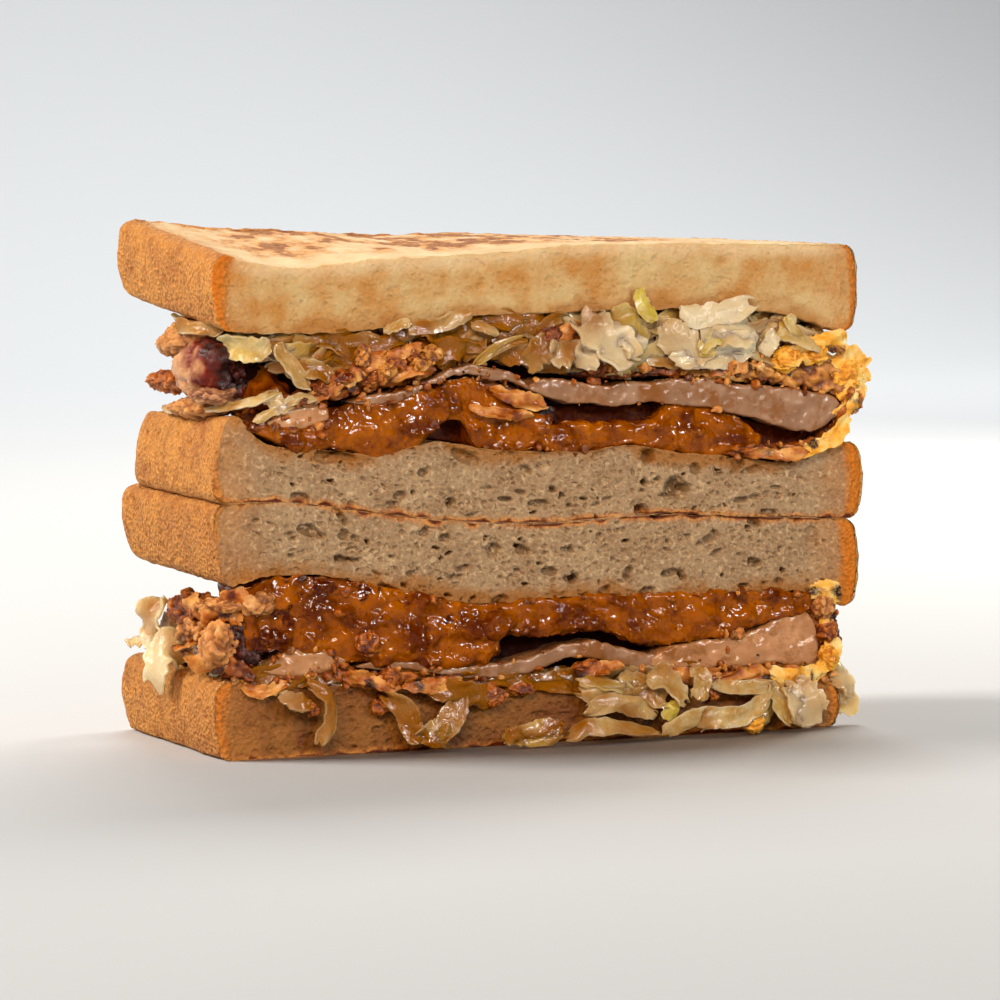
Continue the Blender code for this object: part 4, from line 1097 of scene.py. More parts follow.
# A knob: its middle, its half sizes and its kind of batter or sauce.
Knob = namedtuple("Knob", "x y z half_x half_y half_z kind")
KNOBS = {
    "upper_chicken": (
        Knob(-54.4, -16, 63.0, 6.4, 9.0, 5.3, "rimmed"), Knob(-55.5, -19, 59.6, 4.6, 5.0, 1.9, "mauve"),
        Knob(-56.5, -1, 61.3, 4.2, 7.0, 2.6, "golden"), Knob(-54.6, -12.5, 57.6, 6.0, 10.5, 2.0, "tan"),
        Knob(-48.5, -19.5, 56.8, 5.0, 3.0, 1.8, "golden"),
        # The dark knob at x 8, set back from the cut, is a dark lump put in the cavity between the sauce and
        # the upper meat as painted shade.
        Knob(8.0, -18.5, 57.4, 12.0, 2.6, 1.5, "dark"), Knob(-54.8, -6, 68.6, 4.2, 12.5, 3.6, "tan"),
        Knob(-48, -20, 61.0, 4.0, 4.0, 4.0, "amber"), Knob(-27.5, -26.2, 64.6, 3.4, 2.4, 2.2, "golden"),
        Knob(-31.5, -26.6, 63.4, 2.6, 2.4, 2.4, "golden"),
        Knob(-20.8, -26.8, 66.2, 2.2, 1.8, 1.6, "light"),
        Knob(-23.6, -27.4, 64.8, 1.8, 1.6, 1.5, "light"),
        Knob(-29.6, -27.6, 63.8, 1.8, 1.5, 1.7, "light"),
        Knob(-33.4, -27.4, 66.0, 1.5, 1.3, 2.0, "light"),
        Knob(-24.6, -26.4, 66.4, 2.0, 1.8, 1.6, "golden"),
        Knob(-36.5, -26.0, 62.6, 2.6, 2.2, 1.8, "golden"),
        Knob(-40.5, -26.0, 60.6, 2.6, 2.2, 1.6, "brown"),
        Knob(-44.5, -26.0, 58.8, 2.4, 2.0, 1.4, "brown"),
        Knob(36.0, -26.0, 63.2, 2.0, 2.0, 2.0, "light"),
        Knob(40.5, -26.0, 63.8, 2.2, 2.0, 2.2, "light"),
        Knob(46.5, -26.2, 64.6, 3.2, 2.2, 2.2, "yellow"),
        Knob(52.0, -25.6, 66.0, 3.0, 3.0, 2.2, "yellow"),
        Knob(57.5, -24.0, 61.5, 3.0, 3.0, 3.0, "yellow"),
        Knob(60.0, -24.0, 57.6, 2.2, 3.0, 3.2, "pale"), Knob(9.5, -26.2, 63.4, 2.6, 1.8, 1.8, "brown"),
        Knob(1.5, -25.2, 69.0, 2.6, 1.8, 2.2, "brown"), Knob(57.5, -6.0, 60.2, 3.4, 6.0, 3.0, "brown"),
        Knob(24, 15.5, 60.5, 8.0, 3.5, 3.0, "brown"), Knob(-18, 16.0, 61.8, 8.0, 3.0, 2.8, "brown"),
        Knob(59.5, -18.5, 54.0, 1.6, 2.4, 2.0, "pale"),
    ),
    "lower_chicken": (
        Knob(-57.5, -22.5, 18.6, 3.6, 4.6, 3.6, "tan"), Knob(-58.0, -14.0, 20.6, 3.4, 5.0, 3.0, "pale"),
        Knob(-56.0, -23.0, 25.6, 3.6, 3.2, 1.5, "tan"), Knob(-56.0, -6.0, 23.6, 4.2, 6.0, 3.0, "brown"),
        Knob(-57.5, -17.5, 24.6, 3.0, 4.0, 1.6, "pale"),
        Knob(-53.0, -24.6, 19.5, 3.4, 2.4, 4.4, "dark"),
        Knob(-51.2, -26.2, 25.4, 3.0, 2.2, 2.0, "pale"),
        Knob(-32.5, -26.8, 18.4, 2.2, 1.4, 2.4, "golden"),
        Knob(53.5, -26.0, 21.0, 2.2, 2.4, 2.4, "tan"), Knob(54.2, -26.2, 16.6, 2.0, 2.2, 2.2, "golden"),
        Knob(54.6, -26.0, 12.4, 1.8, 2.2, 2.4, "yellow"),
        Knob(56.6, -20.5, 15.8, 3.4, 4.0, 4.8, "black"), Knob(55.4, -24.0, 18.4, 2.2, 2.4, 2.8, "dark"),
        Knob(54, -3.0, 17.0, 4.0, 5.0, 3.6, "brown"), Knob(20, 14.0, 16.0, 8.0, 4.0, 3.0, "brown"),
        Knob(-14, 14.5, 15.6, 7.0, 3.5, 2.6, "brown"),
        Knob(-24.0, -27.6, 11.2, 2.4, 1.6, 1.6, "golden"),
        Knob(-19.0, -27.4, 11.0, 2.6, 1.6, 1.3, "golden"),
        Knob(-28.5, -27.4, 12.4, 2.2, 1.6, 1.8, "golden"),
        Knob(8.0, -26.6, 12.8, 2.6, 1.6, 1.2, "golden"),
        Knob(-42.8, -28.0, 8.0, 1.6, 1.2, 1.2, "golden"),
        Knob(-30.7, -27.4, 7.8, 1.8, 1.0, 1.5, "golden"),
        Knob(31.6, -27.4, 8.2, 1.3, 1.2, 2.4, "golden"),
        Knob(37.8, -30.2, 2.0, 2.0, 1.6, 1.6, "yellow"),
        Knob(-10.5, -27.4, 8.8, 2.6, 1.4, 2.0, "golden"),
        Knob(-4.5, -27.2, 9.6, 2.4, 1.2, 1.2, "golden"),
    ),
    "lower_sauce": (
        Knob(-9.0, -26.4, 20.4, 3.4, 1.8, 3.0, "glob"),
    ),
}


def batter_knob(knob, name, node, seed, materials):
    """A knob of batter: a ball pushed out into round lumps with creases."""
    bpy.ops.object.select_all(action="DESELECT")
    half = np.array((knob.half_x, knob.half_y, knob.half_z))
    bpy.ops.mesh.primitive_ico_sphere_add(subdivisions=KNOB_DETAIL, radius=1)
    piece = bpy.context.object
    piece.name = name
    piece.data.name = name
    middle = np.array((knob.x, knob.y, knob.z))
    ball = points_of(piece)
    place = ball * half * (1 + 0.4 * noise_at(ball + middle, 1.1, seed)[:, None]) + middle
    set_points(piece, place)
    small = min(half)
    high_share = crags(place, seed, max(0.45 * small, 1.1))
    if knob.kind in ("glob", "amber"):
        high_share = 0.3 + 0.3 * noise_at(place, 1.5, seed)
    push_out(piece, 0.6 * min(small, 2.6) * (high_share - 0.5))
    # The burnt nugget has a hollow that faces the cut, and is lighter round its left end.
    if knob.kind == "rimmed":
        hollow = soft_step(0.35 * ball[:, 0] - 0.9 * ball[:, 1], 0.55, 0.95)
        push_out(piece, -2.6 * hollow)
        leftness = 0.4 * ball[:, 1] - 0.9 * ball[:, 0] + 0.35 * noise_at(place, 2.4, seed + 8)
        outer = soft_step(leftness, 0.1, 0.8)
        high_share = 0.3 * high_share + outer * (0.6 + 0.5 * high_share)
    set_attribute(piece, "high", high_share)
    char = {"dark": 0.55, "black": 0.9, "glob": 0.6}.get(knob.kind, 0)
    set_attribute(piece, "char", char * (0.5 + 0.5 * soft_step(noise_at(place, 3, seed + 4), -0.5, 0.2)))
    slot = "sauce" if knob.kind == "glob" else "batter"
    return finish_piece(piece, points_of(piece), materials[knob.kind], slot, [node])


# Crumbs in each half: their kind, how many they are, and their seed.
CRUMBS = (("golden", 120, 800), ("brown", 80, 801))


def crumb_scatter(name, node, ribbons, count, seed, material):
    """Fried crumbs of 0.5 to 2 mm, stuck in the sauce and along the edges of the bands."""
    chance = random.Random(seed)
    parts = []
    for index in range(count):
        one = chance.choice(ribbons)
        x = chance.uniform(one.under[0][0] + 1, one.under[-1][0] - 1)
        low, high = (float(smooth_line(line, np.array(x))) for line in (one.under, one.over))
        share = chance.choice((0.0, 0.0, 1.0, 1.0, chance.random()))
        middle = np.array((x, one.front, low + (high - low) * share))
        half = np.array([chance.uniform(0.2, 0.8) for _ in range(3)]) * chance.choice((0.5, 0.8, 1.3))
        bpy.ops.object.select_all(action="DESELECT")
        bpy.ops.mesh.primitive_ico_sphere_add(subdivisions=CRUMB_DETAIL, radius=1)
        part = bpy.context.object
        ball = points_of(part)
        lumps = 0.95 + 0.75 * rough_noise(ball + middle, 0.9, seed + index)
        set_points(part, ball * half * lumps[:, None] + middle)
        set_attribute(part, "high", 0.2 + 0.6 * lumps - 0.6 * chance.random())
        set_attribute(part, "char", np.full(len(ball), chance.choice((0, 0, 0, 0.4))))
        parts.append(part)
    join_parts(parts, name)
    return finish_piece(parts[0], points_of(parts[0]), material, "batter", [node])


# Thin curled flakes of batter, given as shreds are. Those right of this X are of yellow batter.
END_FLAKES_X = 42
FLAKES = {
    "upper_chicken": (
        Shred(((54, -25, 63.0), (59, -25.6, 63.4), (64.2, -24.4, 64.8)), 4.2),
        Shred(((56, -24, 60.8), (60, -24.6, 61.8), (63.6, -23.4, 60.2)), 3.6),
        Shred(((56.6, -25.6, 57.4), (59.8, -26.2, 60.0), (61.4, -25.4, 63.2)), 2.8),
        Shred(((55.5, -26.2, 54.6), (59.4, -26.6, 56.8), (60.6, -25.8, 60.6)), 2.6),
        Shred(((43, -26.4, 63.8), (48, -27.2, 65.4), (52.6, -26.4, 64.4)), 2.6),
        Shred(((49, -26, 65.4), (54, -26.8, 67.4), (58.4, -26, 66.6)), 3.4),
        Shred(((-37, -26.4, 61.2), (-33, -27.4, 64.6), (-29, -26.8, 66.6)), 2.4),
        Shred(((-31, -26.6, 63.8), (-27, -27.4, 66.4), (-22.6, -26.8, 67.6)), 1.9),
        Shred(((-28, -26.8, 62.2), (-24, -27.4, 63.6), (-20.6, -26.8, 63.4)), 1.5),
        Shred(((-44, -26.6, 58.6), (-40, -27.4, 60.4), (-36.4, -26.8, 60.8)), 1.8),
        Shred(((37, -27.2, 48.6), (44, -28.0, 48.0), (50, -27.4, 48.6)), 2.0),
        Shred(((47, -27, 48.2), (54, -27.6, 50.4), (58.4, -26.6, 54.4)), 2.4),
        Shred(((31, -26.4, 62.2), (35, -27.2, 63.6), (39, -26.6, 63.0)), 2.2),
        Shred(((-10, -26.4, 60.2), (-4, -27.0, 58.4), (1, -26.2, 57.2)), 2.2),
        Shred(((-14, -26.2, 57.4), (-8, -26.9, 56.4), (-2, -26.2, 55.4)), 2.0),
        Shred(((2, -26, 68.4), (5, -26.6, 70.2), (8, -26, 70.0)), 2.2),
    ),
    "lower_chicken": (
        Shred(((-57.8, -24, 26.0), (-53.4, -25.8, 27.2), (-49.6, -26.4, 26.2)), 2.6),
        Shred(((-59.2, -20, 22.6), (-57.2, -23, 24.6), (-53.4, -25.2, 23.0)), 3.2),
        Shred(((-58.5, -22, 15.6), (-59.8, -18, 18), (-58.6, -11, 19.2)), 4.4, (-1, -0.3, 0.1)),
        Shred(((-57.8, -9, 22), (-59.2, -14, 24), (-57.6, -19, 25.6)), 3.2, (-1, -0.3, 0.1)),
        Shred(((-36.5, -27.4, 13.6), (-31.6, -28.4, 12), (-27, -27.8, 11.2)), 2.4),
        Shred(((-27, -28, 11.6), (-22, -28.8, 11), (-16, -27.8, 11.8)), 2.2),
        Shred(((-18, -27, 8.0), (-13, -27.6, 9.4), (-8, -27, 8.6)), 2.6),
        Shred(((5.6, -27, 11.4), (10, -28, 12.8), (14.6, -27, 12.2)), 2.2),
        Shred(((23, -27, 11.4), (28.4, -27.8, 10.4), (33.6, -27, 10.8)), 2.2),
        Shred(((33, -27, 9.4), (38, -27.8, 10), (43, -27, 9.4)), 2.4),
        Shred(((42, -27, 10.4), (48, -27.8, 9.0), (54.4, -26.6, 9.8)), 2.8),
        Shred(((52.4, -26.4, 9.6), (54.8, -27.2, 14), (53.8, -26.6, 19.6)), 2.4),
        Shred(((50.6, -26.4, 23.8), (54.4, -27.0, 24.4), (56.6, -25.8, 21.4)), 2.6),
        Shred(((-54.6, -26.4, 12.4), (-50.6, -27.0, 11.4), (-46.6, -26.6, 12.6)), 1.8),
    ),
}


def batter_flakes(node, ending, flakes, material, seed):
    """Flakes of batter joined to one piece."""
    parts = []
    for index, flake in enumerate(flakes):
        part = leaf_strip(flake, seed + 10 * index, 0.22, SHOWN_GRID)
        place = points_of(part)
        set_attribute(part, "high", 0.55 + 0.7 * rough_noise(place, 1.8, seed + index))
        set_attribute(part, "char", 0.6 * soft_step(noise_at(place, 3.0, seed + 50 + index), 0.3, 0.7))
        parts.append(part)
    join_strips(parts, node + ending, material, "batter", node)


# Each batter's material, the colours of its creases (painted shade), its body and its tips, and its
# roughness.
BATTERS = {
    "golden": ("golden_fried_batter", "#5C2204", "#B4661A", "#ECB060", 0.34),
    "brown": ("brown_fried_batter", "#3A1204", "#8A4610", "#CC8C42", 0.34),
    "dark": ("dark_fried_batter", "#200602", "#5E1E0A", "#8E4018", 0.3),
    "pale": ("pale_fried_batter", "#6E3C16", "#BE8446", "#E8C088", 0.5),
    "tan": ("tan_fried_batter", "#8A5426", "#CC9050", "#E6BC80", 0.6),
    "rimmed": ("burnt_batter_nugget", "#2A0804", "#74200C", "#C8986C", 0.3),
    "mauve": ("bare_batter_skin", "#6A3C20", "#B0805A", "#E0BC94", 0.5),
    "yellow": ("yellow_fried_batter", "#C47E1C", "#FFBE3C", "#FFE8A0", 0.45),
    "light": ("light_golden_batter", "#6E340A", "#D49440", "#FFE2A6", 0.36),
}


def make_chicken():
    """Meat, batter and sauce of both halves."""
    kinds = {kind: fried_batter(*looks) for kind, looks in BATTERS.items()}
    kinds["meat"] = cooked_meat("cooked_chicken_breast", "#AC8E78", "#94745C", 0.24)
    kinds["wet_meat"] = cooked_meat("wet_chicken_breast", "#D2A57E", "#BC8E66", 0.2)
    kinds["sauce"] = kinds["amber"] = kinds["glob"] = thick_sauce("thick_curry_sauce", 0.14)
    kinds["black"] = kinds["dark"]
    inner_sauce = thick_sauce("drying_curry_sauce", 0.6)
    inner = fried_batter("soaked_fried_batter", "#341204", "#90501A", "#CC8E48", 0.85)
    for body in BODIES:
        if body.node.endswith("chicken"):
            layer_body(body, inner, "batter", BODY_FRONT, True)
        else:
            layer_body(body, inner_sauce, "sauce", BODY_FRONT, False)
    for one in UPPER_RIBBONS + LOWER_RIBBONS:
        ribbon(one, kinds)
    for half, ribbons in (("upper", UPPER_RIBBONS), ("lower", LOWER_RIBBONS)):
        node = half + "_chicken"
        for kind, count, seed in CRUMBS:
            crumb_scatter(f"{node}_{kind}_crumbs", node, ribbons, count, seed, kinds[kind])
    for node, flakes in FLAKES.items():
        near = [flake for flake in flakes if flake.path[0][0] < END_FLAKES_X]
        ends = [flake for flake in flakes if flake.path[0][0] >= END_FLAKES_X]
        batter_flakes(node, "_flakes", near, kinds["golden"], 900)
        batter_flakes(node, "_end_flakes", ends, kinds["yellow"], 960)
    for node, knobs in KNOBS.items():
        for index, knob in enumerate(knobs):
            batter_knob(knob, f"{node}_knob_{index}", node, 300 + 13 * index, kinds)


# Cabbage

def shredded_cabbage(name):
    """White cabbage, shredded raw and wilted a little by the heat: waxy, wet, and so thin that light
    comes through it, whiter at the ribs and with a painted glow along the rims of its shreds,
    yellow-green in the inner leaves, amber where sauce soaks it."""
    material, tree, place = new_material(name)
    green, soaked, rib_and_painted_glow = (add_node(tree, "Attribute", {"attribute_name": key}).outputs["Fac"]
                          for key in ("green", "soaked", "rib_and_painted_glow"))
    # Blotches are about 3 mm, and pale veins about 1.4 mm apart branch through the leaf.
    blotch, veins = (
        add_node(tree, "TexNoise", {"Scale": per_metre(size), "Detail": 3, "Roughness": rough,
                                    "Distortion": twist}, {"Vector": place}).outputs["Fac"]
        for size, rough, twist in ((3, 0.55, 0), (1.4, 0.6, 0.8)))
    colour = laid_over(tree, "#FCE0A6", (
        (blotch, (0.38, 0.65, 1), "#D6A458"), (rib_and_painted_glow, None, "#FFF2D0"), (green, None, "#F0DC4A"),
        (veins, (0.52, 0.62, 0.35), "#FFF4D6"), (soaked, None, "#9C6206")))
    bump = add_node(tree, "Bump", {"Strength": 0.8, "Distance": 0.35 * MM}, {"Height": veins})
    give_surface(tree, {"Roughness": 0.16, "IOR": 1.36, "Specular IOR Level": 0.5,
                        "Transmission Weight": 0.12, "Subsurface Weight": 0.6,
                        "Subsurface Radius": (1.0, 0.8, 0.45), "Subsurface Scale": 2.5 * MM},
                 {"Base Color": colour, "Normal": bump.outputs["Normal"]})
    return material


LEFTWARD = (-1, -0.3, 0.1)
UPWARD = (0, -0.4, 1)
UPPER_SHREDS = (
    Shred(((-56.5, -21, 68.6), (-53, -26, 67.6), (-49.5, -26.8, 68.4)), 3.4, green=0.35),
    Shred(((-48.8, -26.8, 68.4), (-46.4, -27.2, 65.0), (-42.6, -26.8, 60.8)), 2.8),
    Shred(((-46, -24, 63.6), (-42, -26.2, 64.2), (-38, -26.6, 62.6)), 3.0),
    Shred(((-58, -18, 57.4), (-53, -25.8, 58.8), (-47.5, -26.6, 60.4)), 1.6, UPWARD),
    Shred(((-50.4, -26.8, 60.2), (-46.5, -27.2, 57.6)), 2.6),
    Shred(((-47.5, -27.2, 58.4), (-44.5, -27.4, 59.6), (-41.5, -27.2, 59.2)), 1.6),
    Shred(((-52.6, -26.8, 55.6), (-49, -27.2, 57.4), (-45.4, -27, 58.2)), 1.2),
    Shred(((-41, -24.5, 66.0), (-35, -25.5, 66.8), (-28, -25, 67.8)), 5.0, soaked=0.35),
    Shred(((-29.6, -26.8, 70.2), (-27, -27.4, 71.2), (-24.8, -27.0, 71.8)), 1.5),
    Shred(((-25.4, -26.6, 70.4), (-19.5, -27.2, 71.4), (-13.6, -27.0, 73.2)), 2.3),
    Shred(((-13.8, -26.6, 71.2), (-11, -27.2, 70.8), (-8.6, -26.8, 69.4)), 1.7),
    Shred(((-13, -26.2, 64.4), (-9, -26.9, 67.2), (-3.5, -26.4, 69.2)), 1.5, green=0.7),
    Shred(((-10.5, -26.4, 65.6), (-7, -27.0, 67.6), (-3, -26.6, 68.4)), 0.9, green=0.3),
    Shred(((-19, -24.5, 64.6), (-15, -25.6, 67.2), (-10, -25, 68.6)), 5.0, soaked=0.6),
    Shred(((-3.4, -26, 63.2), (-1.6, -27.0, 66.2), (1.6, -26.4, 68.6)), 4.4, soaked=0.15),
    Shred(((0.6, -26.8, 65.4), (3.6, -27.2, 66.2), (6.6, -26.9, 65.4)), 4.6, thick=0.9),
    Shred(((7.2, -27.2, 74.4), (8.0, -27.7, 71.4), (11.6, -27.9, 67.6), (15.4, -27.2, 64.8)),
          6.8, thick=0.9),
    Shred(((6.4, -26.8, 63.6), (7.6, -27.4, 66.4), (8.6, -27.2, 69.6)), 4.2, thick=0.9),
    Shred(((12.4, -27.0, 70.8), (15.6, -27.6, 68.4), (17.6, -27.0, 65.2)), 4.0, thick=0.9),
    Shred(((17.3, -27.0, 77.0), (18.4, -27.5, 74.0), (20.8, -27.2, 71.4)), 2.6, green=0.8),
    Shred(((12.6, -26.0, 73.2), (16.2, -26.8, 70.8), (20.0, -26.2, 67.6)), 4.6, green=0.5),
    Shred(((22.2, -26.6, 71.0), (25.6, -27.6, 67.4), (32, -27.4, 65.0)), 5.2, thick=0.9),
    Shred(((25.2, -27.0, 73.6), (29, -27.8, 72.2), (34, -27.6, 72.8), (39.4, -27, 74.4)), 3.6, thick=0.9),
    Shred(((27.6, -27.6, 69.6), (33, -28.2, 70.2), (39.8, -27.4, 69.0)), 6.4, thick=0.9),
    Shred(((30, -27.4, 66.6), (35, -28.0, 67.4), (39.6, -27.2, 66.4)), 5.0, thick=0.9),
    Shred(((23.0, -27, 65.2), (30, -27.6, 64.4), (37, -27, 65.4)), 2.8, thick=0.9),
    Shred(((28.0, -28.4, 66.2), (30.4, -28.7, 68.0), (32.4, -28.4, 68.6)), 2.2, green=1.0),
    Shred(((28.2, -28.4, 65.8), (31.4, -28.6, 66.0)), 1.2, green=0.9),
    Shred(((41.0, -27.2, 65.4), (42.2, -27.6, 67.2), (42.8, -27.4, 69.6)), 2.7, thick=0.9),
    Shred(((43.4, -26.2, 70.4), (48, -26.8, 68.6), (54, -26, 67.6)), 4.6, green=0.25, soaked=0.2),
    Shred(((46.0, -26.4, 72.0), (47.6, -27.0, 69.6), (48.2, -26.6, 67.2)), 2.4, green=0.3),
    Shred(((-55, -20, 70.6), (-58.4, -14, 70.8), (-58.6, -6, 71.4)), 2.2, LEFTWARD, soaked=0.5),
    Shred(((-57.4, -19, 57.6), (-58.2, -8, 57.0), (-57.4, 4, 57.0)), 1.2, LEFTWARD),
)
LOWER_SHREDS = (
    Shred(((-48.6, -28.0, 10.8), (-46, -28.8, 9.6), (-43.2, -28.6, 9.6)), 3.0, thick=0.9),
    Shred(((-43.6, -27.6, 12.6), (-40.2, -29.0, 10.0), (-40.2, -29.4, 5.8), (-42.4, -29.2, 2.2)), 2.6),
    Shred(((-30.6, -28.0, 10.2), (-26.8, -29.4, 7.4), (-25.6, -29.8, 4.4), (-23.4, -29.6, 2.4)), 3.4),
    Shred(((-25.2, -29.4, 2.8), (-21, -30.0, 3.4), (-18, -29.6, 6.4), (-15.6, -28.6, 9.4)), 3.8),
    Shred(((-22, -28.2, 10.4), (-16, -28.8, 9.8), (-8.6, -28, 8.4)), 3.6, soaked=0.25),
    Shred(((-21.6, -30.0, 2.0), (-20.2, -30.6, 3.6), (-19.4, -30.4, 4.8)), 1.6, green=0.9),
    Shred(((-9.6, -31.0, 1.6), (-7.6, -31.6, 2.2), (-5.4, -31.4, 1.8)), 2.6, green=1.0, thick=0.9),
    Shred(((-7.6, -31.0, 2.0), (-3.6, -31.8, 3.2), (1.0, -31.2, 3.4)), 2.8, green=0.9, thick=0.9),
    Shred(((-6.6, -31.4, 1.2), (-2.0, -32.0, 1.4), (0.8, -31.4, 2.2)), 1.6, green=1.0),
    Shred(((1.8, -30.8, 1.0), (6, -31.6, 3.2), (12, -31.4, 2.9), (19.6, -30.6, 1.2)), 2.8),
    Shred(((6.0, -29.2, 5.2), (10.6, -30.2, 7.0), (16, -30.0, 6.0), (20.4, -29.4, 4.6)), 3.0),
    Shred(((5, -28.4, 10.6), (10.8, -29.2, 9.8), (15.6, -28.8, 8.4)), 2.2, green=0.4),
    Shred(((4.8, -28.6, 8.8), (11, -29.4, 8.2), (19, -29, 9.4)), 2.6, soaked=0.2),
    Shred(((13, -28.2, 10.6), (18, -29.0, 9.0), (22.6, -29.4, 5.8)), 4.2),
    Shred(((20, -30.6, 1.0), (25, -31.4, 3.4), (31, -31.2, 4.6)), 2.6),
    Shred(((26.8, -31.0, 1.2), (28.6, -31.9, 3.4), (33, -31.8, 3.6), (38, -31, 4.6),
           (41.4, -30.2, 6.8)), 3.0),
    Shred(((18.6, -28.4, 11.4), (22.2, -29.4, 9.2), (26, -29.4, 5.8)), 4.4),
    Shred(((21.2, -29.8, 3.4), (22.2, -30.2, 5.2), (22.0, -30.0, 6.6)), 2.4, green=0.8),
    Shred(((27.4, -28.2, 12.2), (28.6, -29.2, 9.6), (27.4, -29.6, 6.4)), 3.2),
    Shred(((30.6, -28.2, 9.2), (36, -29, 8.0), (43.4, -28.6, 8.4)), 2.4),
    Shred(((42.6, -28.4, 9.0), (43.6, -29.8, 5.4), (44.8, -30.4, 1.2)), 3.4, green=0.2),
    Shred(((46.4, -28.4, 8.4), (48.6, -30, 5.4), (51.2, -30.4, 1.6)), 5.6, thick=0.9),
    Shred(((44.6, -28.6, 8.6), (46.6, -30.2, 5.0), (47.4, -30.4, 1.2)), 3.4, thick=0.9),
    Shred(((38.6, -28.6, 6.2), (41.0, -29.4, 4.2), (40.2, -29.6, 1.4)), 2.4, green=0.5, soaked=0.3),
    Shred(((55.0, -25, 9.6), (58.4, -25.4, 7.8), (59.8, -24.8, 5.0)), 3.6, thick=0.9),
    Shred(((57.0, -24.6, 6.4), (60.2, -24.0, 4.6), (59.0, -23.6, 1.6)), 3.4, green=0.2, thick=0.9),
    Shred(((56.6, -22, 10.6), (60.2, -20.6, 9.6), (61.0, -19.6, 7.2)), 2.2, green=0.5),
    Shred(((-55, -6, 17.6), (-60.6, -5.4, 16.6), (-62.0, -5.2, 13.0), (-61.4, -5, 9.2)),
          6.0, LEFTWARD, 0.15, 0, 0.9),
    Shred(((-52, 4, 17.4), (-58.4, 4, 18.4), (-59.4, 3.6, 21.4), (-57, 3, 24.0)),
          7.0, LEFTWARD, 0.1, 0.1, 0.9),
    Shred(((-50, 10, 17.0), (-58.6, 9.4, 17.0), (-61.4, 9, 16.0)), 6.0, UPWARD),
    Shred(((46, 4, 10.6), (54, 5, 10.8), (57, 9, 10.8), (54, 13, 10.8)), 3.0, UPWARD),
)


def cabbage_shred(shred, seed, soak, grid):
    """A torn strip of cabbage, with a painted glow along its rims for the light that comes through its edge.
    """
    piece = leaf_strip(shred, seed, 0.0, grid)
    place = points_of(piece)
    rim = np.empty(len(place))
    piece.data.attributes["rim"].data.foreach_get("value", rim)
    set_attribute(piece, "green", shred.green * (0.6 + 0.6 * noise_at(place, 2.5, seed + 4)))
    left_middle = soft_step(place[:, 0], -47, -40) * (1 - soft_step(place[:, 0], -12, 24))
    # Rims are a little less soaked and take the pale rib colour, which paints a glow along them.
    soaked = shred.soaked + soak + 0.5 * left_middle + 0.55 * noise_at(place, 4.5, seed + 5) - 0.15 * rim
    set_attribute(piece, "soaked", soaked)
    set_attribute(piece, "rib_and_painted_glow", np.maximum(0.4 * rim, 0.7 if shred.thick > 0.8 else 0.0))
    return piece


def heap_shreds(plan, under, over, count, seed):
    """Shreds that lie in a layer at all angles, most of them near the cut."""
    chance = random.Random(seed)
    shreds = []
    for index in range(count):
        share = (index + chance.random()) / count
        x = plan.left + 3 + (plan.right - plan.left - 6) * share
        y = CUT_Y + chance.uniform(0.6, 3.5)
        low = float(height(under, np.array(x), np.array(y))) + 0.8
        high = float(height(over, np.array(x), np.array(y))) - 0.8
        slope = chance.uniform(-1, 1)
        reach = chance.uniform(3, 6)
        middle = chance.uniform(low, max(high, low + 0.1))
        path = []
        for step in (-1, -0.3, 0.4, 1):
            z = min(max(middle + slope * step * (high - low) * 0.6, low), max(high, low))
            end_x = min(max(x + step * reach, plan.left), plan.right)
            path.append((end_x, y + 1.4 * step * step - 0.8, z))
        width = chance.uniform(1.4, 3.8)
        face = (chance.uniform(-0.4, 0.4), -1, chance.uniform(-0.3, 0.6))
        green = chance.choice((0, 0, 0.1, 0.4))
        soaked = chance.uniform(0.45, 1.0) - 0.3 * (x > 0)
        shreds.append(Shred(tuple(path), width, face, green, soaked, chance.choice((0.6, 0.9))))
    return shreds


def rim_shreds(plan, under, over, count, seed):
    """Loose ends that stand a little out of a layer's left, back and right rims."""
    chance = random.Random(seed)
    shreds = []
    for index in range(count):
        share = (index + chance.random()) / count * 3
        if share < 0.8:
            x, y, out = plan.left + 1, CUT_Y + 8 + share / 0.8 * (plan.back - CUT_Y - 14), (-1, 0)
        elif share < 2.2:
            x = plan.left + 10 + (share - 0.8) / 1.4 * (plan.right - plan.left - 20)
            y, out = plan.back - 0.5, (0, 1)
        else:
            x, y, out = plan.right - 1, CUT_Y + 6 + (share - 2.2) / 0.8 * (plan.back - CUT_Y - 14), (1, 0)
        low = float(height(under, np.array(x), np.array(y)))
        high = float(height(over, np.array(x), np.array(y)))
        z = low + (high - low) * chance.uniform(0.12, 0.88)
        rise = chance.uniform(-0.35, 0.35) * (high - low)
        run = chance.uniform(3, 8)
        bulge = chance.uniform(-1.6, 0.8)
        x, y = x + out[0] * bulge, y + out[1] * bulge
        along = (out[1] * run, out[0] * run)
        path = tuple(
            (x + along[0] * forth + out[0] * away, y + along[1] * forth + out[1] * away, z + rise * forth)
            for forth, away in ((-1, -3), (-0.3, 0), (0.4, 0.6), (1, -2)))
        width = chance.uniform(2, 3.6)
        face = (out[0], out[1], chance.uniform(-0.6, 0.8))
        green = chance.choice((0, 0, 0.2, 0.5))
        shreds.append(Shred(path, width, face, green, chance.uniform(0, 0.4), 0.7))
    return shreds


# How many shreds lie in each heap and round its rim, how far its core is set in, and how amber its
# core is, for soaked cabbage and for painted shade deep in the heap.
HEAP_SHREDS = 110
RIM_SHREDS = 170
CORE_INSET = 3.0
CORE_SOAK_AND_SHADE = 0.75
